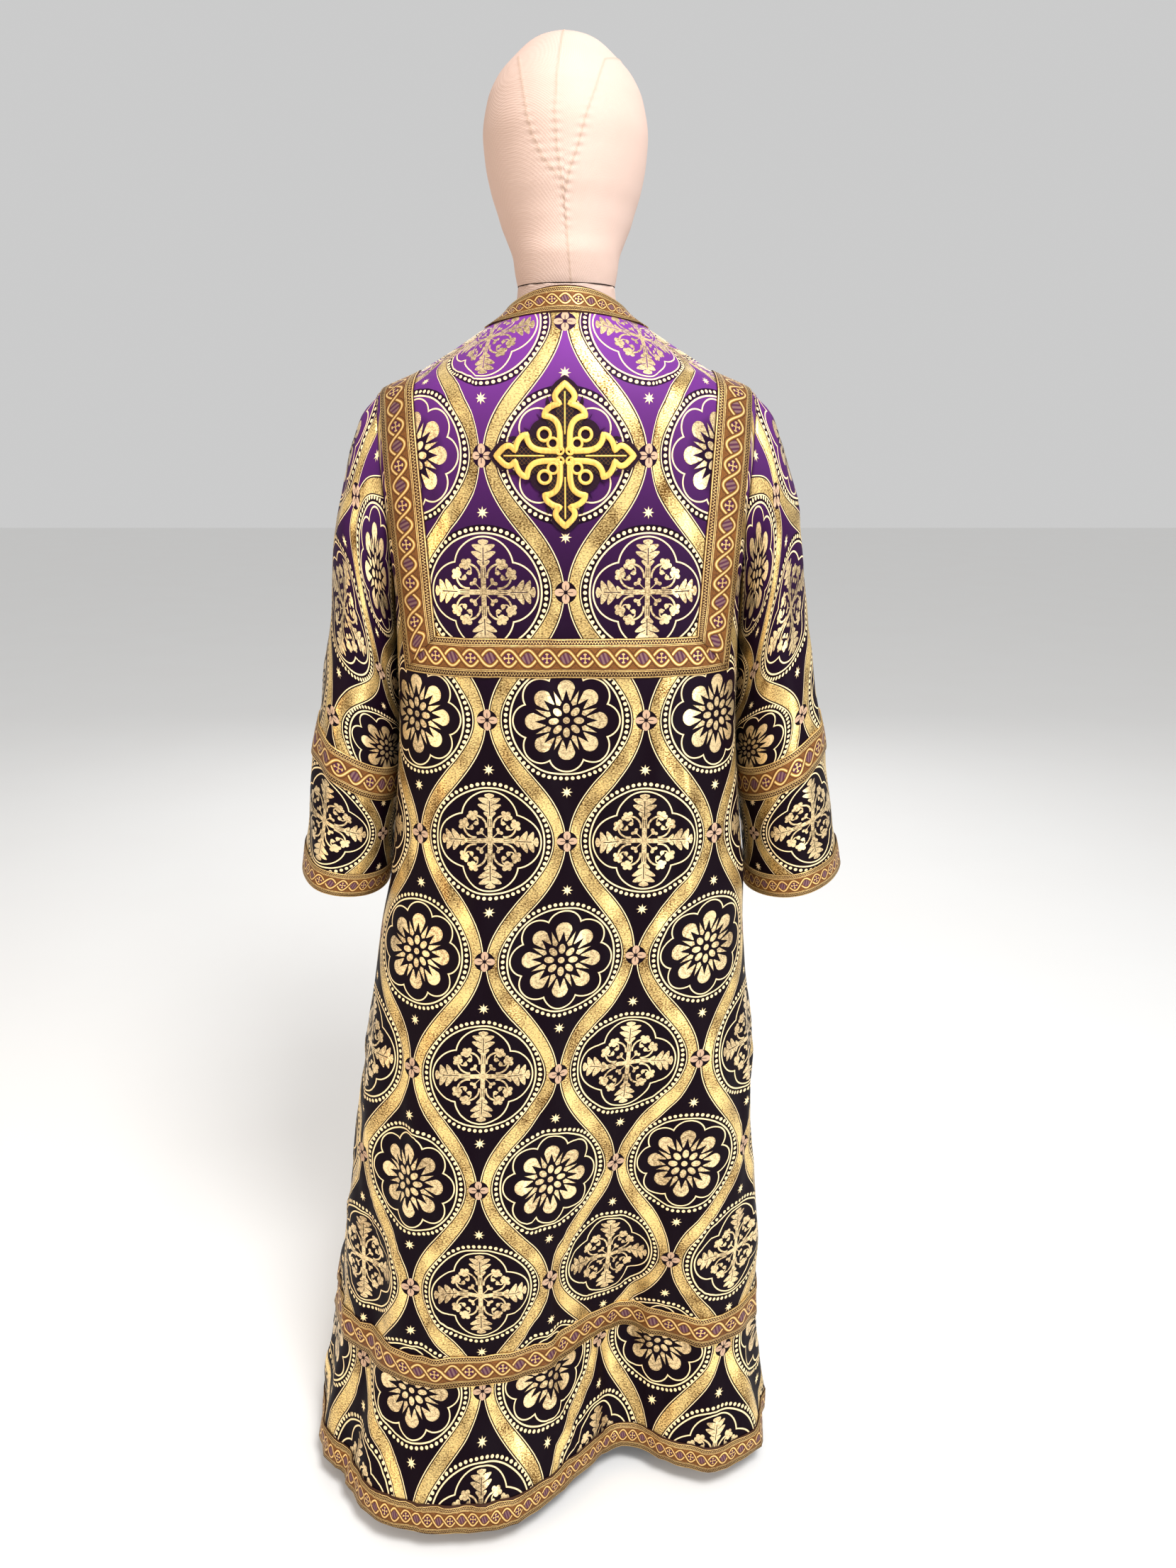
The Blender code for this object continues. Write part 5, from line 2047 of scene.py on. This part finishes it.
    def cord(self, mesh: Mesh, path: list[Pair], half: float,
             height: float, lift: float, closed: bool = False, sharp: Iterable[int] = ()) -> None:
        """Lay a padded cord of half-round section along a flat path.

        Args:
            mesh: The mesh to add to.
            path: The path as x and z.
            half: Half the cord's breadth.
            height: Its height.
            lift: Height of its underside.
            closed: Whether the path closes on itself.
            sharp: Which of its points are corners.
        """
        curve = bpy.data.curves.new("cord", "CURVE")
        curve.dimensions = "3D"
        curve.bevel_depth = half
        curve.bevel_resolution = 3
        curve.resolution_u = 6
        curve.use_fill_caps = True
        spline = curve.splines.new("BEZIER")
        spline.bezier_points.add(len(path) - 1)
        for point, (x, z) in zip(spline.bezier_points, path):
            point.co = (x, 0, z)
            point.handle_left_type = point.handle_right_type = "AUTO"
        for number in sharp:
            corner = spline.bezier_points[number]
            corner.handle_left_type = corner.handle_right_type = "VECTOR"
        spline.use_cyclic_u = closed
        rough = add_object("cord", curve)
        bpy.context.view_layer.update()
        drawn = rough.evaluated_get(bpy.context.evaluated_depsgraph_get())
        data = bpy.data.meshes.new_from_object(drawn)
        bpy.data.objects.remove(rough)
        first = len(mesh.verts)
        mesh.from_mesh(data)
        bpy.data.meshes.remove(data)
        mesh.verts.ensure_lookup_table()
        for vert in mesh.verts[first:]:
            vert.co.y = (vert.co.y / half + 1) / 2 * height + lift

    def build_felt(self, finishes: Finishes) -> None:
        """Make the felt ground and dress it.

        Args:
            finishes: The materials.
        """
        outline = [point for quarter in range(4) for point in self.felt_path(quarter)[:-1]]
        felt = self.plate(outline, self.felt_thick)
        for x, z in self.corners(self.rings[0][0]):
            made = bmesh.ops.create_cone(felt, cap_ends=True, segments=40, radius1=self.corner_felt,
                                         radius2=self.corner_felt, depth=self.felt_thick)
            for vert in made["verts"]:
                vert.co = (vert.co.x + x, vert.co.z + self.felt_thick / 2, vert.co.y + z)
        bmesh.ops.recalc_face_normals(felt, faces=felt.faces[:])
        self.drape(felt, self.lift)
        piece = add_piece("cross_felt_ground", felt, [finishes.felt], smooth=False)
        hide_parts("cross_felt")

    def build_net(self, finishes: Finishes) -> None:
        """Make the net ground inside the gold edge and dress it.

        Args:
            finishes: The materials.
        """
        inner = [point for quarter in range(4) for point in self.cord_path(quarter)[:-1]]
        net = self.plate(inner, self.net_thick)
        self.drape(net, self.lift + self.felt_thick + self.play)
        piece = add_piece("cross_net", net, [finishes.net], smooth=False)

    def build_gold(self, finishes: Finishes) -> None:
        """Make the gold work and dress it.

        Args:
            finishes: The materials.
        """
        gold = bmesh.new()
        middle = len(self.cord_line) - 1
        corners = {middle + side * number for number in self.sharp for side in (-1, 1)}
        for quarter in range(4):
            self.cord(gold, self.cord_path(quarter), self.border, self.gold_thick, 0.0, sharp=corners)
            vein = [self.turn(along, 0.0, quarter) for along in self.vein]
            self.cord(gold, vein, self.vein_half, self.vein_height, self.vein_lift)
        for place, major, minor in self.rings:
            for x, z in self.corners(place):
                path = [(x + major * math.cos(t), z + major * math.sin(t))
                        for t in np.linspace(0, 2 * math.pi, 12, endpoint=False)]
                self.cord(gold, path, minor, self.gold_thick, self.play, closed=True)
        self.drape(gold, self.lift + self.felt_thick + self.play)
        bmesh.ops.remove_doubles(gold, verts=gold.verts[:], dist=WELD)
        bmesh.ops.recalc_face_normals(gold, faces=gold.faces[:])
        piece = add_piece("cross_gold_work", gold, [finishes.gold_thread])
        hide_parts("cross_gold")

    def build(self, finishes: Finishes) -> None:
        """Make the felt, the net and the gold work."""
        self.build_felt(finishes)
        self.build_net(finishes)
        self.build_gold(finishes)


@dataclass
class DressForm:
    """The linen-covered form and its egg-shaped head."""

    frame: dict
    head: tuple[tuple[float, float, float, float], ...] = (
        (1.3650, 0.0500, 0.0500, 0.000), (1.3780, 0.0525, 0.0555, 0.000),
        (1.3900, 0.0540, 0.0620, 0.001), (1.4085, 0.0605, 0.0730, 0.009),
        (1.4220, 0.0660, 0.0810, 0.013), (1.4360, 0.0703, 0.0870, 0.014),
        (1.4540, 0.0760, 0.0940, 0.013), (1.4805, 0.0810, 0.0990, 0.010),
        (1.5020, 0.0824, 0.1005, 0.006), (1.5326, 0.0770, 0.0940, 0.002),
        (1.5510, 0.0680, 0.0830, 0.000), (1.5670, 0.0533, 0.0660, -0.002),
        (1.5850, 0.0300, 0.0380, -0.004), (1.5930, 0.0, 0.0, -0.004),
    )
    seams: tuple[tuple[Pair, ...], ...] = (
        ((1.365, 0.006), (1.396, 0.003), (1.426, 0.001), (1.450, -0.002), (1.479, -0.007),
         (1.508, -0.008), (1.537, -0.006), (1.590, 0.000)),
        ((1.456, -0.007), (1.470, -0.020), (1.488, -0.029), (1.503, -0.034), (1.560, -0.043)),
        ((1.443, 0.001), (1.459, 0.005), (1.479, 0.013), (1.505, 0.021), (1.526, 0.029),
         (1.555, 0.038), (1.565, 0.055)),
    )
    groove: Pair = (0.0006, 0.0010)
    pucker: Triple = (0.0005, 0.0075, 0.0045)
    pucker_shift: float = 1.3
    pucker_least: float = 0.25
    pulled_ups: tuple[float, float, float, float] = (1.40, 1.43, 1.49, 1.53)
    mean_radius: float = 0.08
    head_gap: float = 0.0003
    sides: int = 300
    rings: int = 190

    def build_torso(self, finishes: Finishes) -> None:
        """Round the form's solid off into a padded one and dress it.

        Args:
            finishes: The materials.
        """
        mesh = bmesh.new()
        mesh.from_mesh(self.frame["nodes"]["form_torso"].data)
        bmesh.ops.remove_doubles(mesh, verts=mesh.verts[:], dist=WELD)
        sharp = mesh.edges.layers.float.new("crease_edge")
        top = max(vert.co.z for vert in mesh.verts)
        for edge in mesh.edges:
            edge[sharp] = float(all(vert.co.z > top - WELD for vert in edge.verts))
        piece = add_piece("form_torso_padding", mesh, [finishes.linen])
        soft = piece.modifiers.new("round", "SUBSURF")
        soft.levels = soft.render_levels = 2
        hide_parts("form_torso")

    def seam_distance(self, x: Array, up: Array) -> Array:
        """Distance in the XZ plane from places on the back of the head to the nearest seam.

        Args:
            x: The places' x.
            up: Their heights.

        Returns:
            A distance for each place, in metres.
        """
        nearest = np.full(x.shape, 1.0)
        for seam in self.seams:
            for (low, start), (high, stop) in zip(seam, seam[1:]):
                step = np.array([stop - start, high - low])
                share = np.clip(((x - start) * step[0] + (up - low) * step[1]) / (step @ step), 0, 1)
                away = np.hypot(x - start - share * step[0], up - low - share * step[1])
                nearest = np.minimum(nearest, away)
        return nearest

    def build_head(self, finishes: Finishes) -> None:
        """Make the head, with grooved and puckered seams on its back, and dress it.

        Args:
            finishes: The materials.
        """
        table = np.array(self.head + (self.head[-2],))
        table[-1, 1:3] *= -1
        runs = np.concatenate([[0], np.cumsum(np.hypot(*np.diff(table[:, :2], axis=0).T))])
        curves = [smooth_curve(runs, column) for column in table.T]
        places = np.linspace(0, runs[-2], self.rings)[:, None]
        turns = np.linspace(0, 2 * math.pi, self.sides + 1)[None, :]
        up, breadth, depth, centre = (read(places) for read in curves)
        x = breadth * np.sin(turns)
        y = -depth * np.cos(turns) + centre
        points = np.stack([x, y, np.broadcast_to(up, x.shape)], 2)
        out = cell_normals(points, closed=True)
        out *= np.sign((out * points)[self.rings // 2, 0].sum())
        away = np.where(np.cos(turns) > 0, self.seam_distance(x, up), 1.0)
        low, wide = self.groove
        groove = np.exp(-(away / wide) ** 2)
        height, pitch, reach = self.pucker
        pulled = ramp(up, *self.pulled_ups[:2]) * (1 - ramp(up, *self.pulled_ups[2:]))
        waves = np.sin(2 * math.pi * up / pitch + np.sign(x) * self.pucker_shift)
        waves *= np.exp(-(away / reach) ** 2) * (self.pucker_least + pulled)
        lift = height * waves - low * groove
        points = points + out * lift[..., None]
        points[-1] = points[-1].mean(axis=0)
        across = np.broadcast_to(turns * self.mean_radius, x.shape)
        mesh = sheet_mesh([ClothGrid(points, out, across, points[..., 2])], 0.0)
        mark = mesh.verts.layers.float.new("seam")
        number = mesh.verts.layers.int["number"]
        for vert in mesh.verts:
            vert[mark] = float(groove.reshape(-1)[vert[number]])
            vert.co.z += self.head_gap
        rim = [edge for edge in mesh.edges if edge.is_boundary]
        bmesh.ops.edgeloop_fill(mesh, edges=rim)
        bmesh.ops.recalc_face_normals(mesh, faces=mesh.faces[:])
        piece = add_piece("form_head_cover", mesh, [finishes.linen])
        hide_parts("form_head")

    def build(self, finishes: Finishes) -> None:
        """Make the torso and the head."""
        self.build_torso(finishes)
        self.build_head(finishes)


@dataclass
class Stand:
    """The pole and the round foot."""

    pole_radius: float = 0.016
    foot_radius: float = 0.105
    bevel: float = 0.003
    sides: int = 96

    def build(self, finishes: Finishes) -> None:
        """Make both pieces from the CAD nodes' boxes and dress them.

        Args:
            finishes: The materials.
        """
        for name, radius in (("stand_pole", self.pole_radius), ("stand_foot", self.foot_radius)):
            low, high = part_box(name)
            mesh = bmesh.new()
            bmesh.ops.create_cone(mesh, cap_ends=True, segments=self.sides, radius1=radius,
                                  radius2=radius, depth=high[2] - low[2])
            bmesh.ops.translate(mesh, vec=(0, 0, (low[2] + high[2]) / 2), verts=mesh.verts[:])
            rims = [edge for edge in mesh.edges if any(len(face.verts) > 4 for face in edge.link_faces)]
            if name == "stand_foot":
                bmesh.ops.bevel(mesh, geom=rims, affect="EDGES", offset=self.bevel, segments=3,
                                profile=0.5, material=-1)
            piece = add_piece(name + "_painted", mesh, [finishes.paint])
            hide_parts(name)


# The studio


@dataclass(frozen=True)
class Lamp:
    """A soft square lamp: its place, its side in metres, its power in watts and its tint."""

    name: str
    place: Triple
    size: float
    power: float
    tint: Triple = (1.0, 1.0, 1.0)

    def hang(self, target: Triple) -> None:
        """Hang the lamp.

        Args:
            target: The point that it faces.
        """
        data = bpy.data.lights.new(self.name, "AREA")
        data.size = self.size
        data.energy = self.power
        data.color = self.tint
        lamp = add_object(self.name, data)
        lamp.location = self.place
        aim = Vector(target) - Vector(self.place)
        lamp.rotation_mode = "QUATERNION"
        lamp.rotation_quaternion = aim.to_track_quat("-Z", "Y")


@dataclass
class Studio:
    """Floor, light and camera."""

    camera_place: Triple = (0.0224, -1.322, 1.260)
    camera_pitch: float = 16.98
    lens: float = 27.02
    sensor: float = 36.0
    floor_size: float = 14.0
    target: Triple = (0.0, 0.0, 0.95)
    sky: float = 0.60
    lamps: tuple[Lamp, ...] = (
        Lamp("overhead", (0.6, -1.5, 3.0), 0.8, 78.0),
        Lamp("left_fill", (-2.4, -1.6, 1.2), 1.0, 26.0, (1.0, 0.74, 0.50)),
        Lamp("right_fill", (2.0, -2.3, 0.9), 0.8, 34.0),
        Lamp("front_fill", (0.0, 3.0, 2.2), 2.0, 25.0),
    )

    def build_floor(self) -> None:
        """Lay the pale floor."""
        mesh = bmesh.new()
        bmesh.ops.create_grid(mesh, x_segments=1, y_segments=1, size=self.floor_size)
        data = bpy.data.meshes.new("floor")
        mesh.to_mesh(data)
        mesh.free()
        dress = Dresser("pale_floor")
        speck = dress.noise(3.0)
        colour = dress.mix(speck * 0.05, Palette.FLOOR, Palette.LINEN)
        data.materials.append(dress.finish(colour, speck, 0.0))
        dress.plain(Roughness=0.9)
        add_object("floor", data)

    def build(self) -> None:
        """Make the floor, the lamps, the world and the camera."""
        self.build_floor()
        for lamp in self.lamps:
            lamp.hang(self.target)
        world = bpy.data.worlds.new("studio")
        world.use_nodes = True
        sky = world.node_tree.nodes["Background"]
        sky.inputs["Color"].default_value = (1.0, 1.0, 1.0, 1)
        sky.inputs["Strength"].default_value = self.sky
        bpy.context.scene.world = world
        bpy.context.scene.view_settings.view_transform = "Standard"
        data = bpy.data.cameras.new("camera")
        data.lens = self.lens
        data.sensor_width = self.sensor
        camera = add_object("camera", data)
        camera.location = self.camera_place
        camera.rotation_euler = (math.radians(90 - self.camera_pitch), 0, 0)
        bpy.context.scene.camera = camera


def main() -> None:
    """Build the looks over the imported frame."""
    logging.basicConfig(level=logging.INFO, format="%(name)s: %(message)s")
    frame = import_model()
    finishes = Finishes()
    shape = BodyShape()
    panels = {side: Panel(shape, side) for side in Side}
    for panel in panels.values():
        panel.build(finishes)
    Galloons(shape, panels).build(finishes)
    for hand in Hand:
        Sleeve(shape, hand).build(finishes)
    BackCross(shape).build(finishes)
    DressForm(frame).build(finishes)
    Stand().build(finishes)
    Studio().build()
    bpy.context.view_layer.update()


if __name__ == "__main__":
    main()
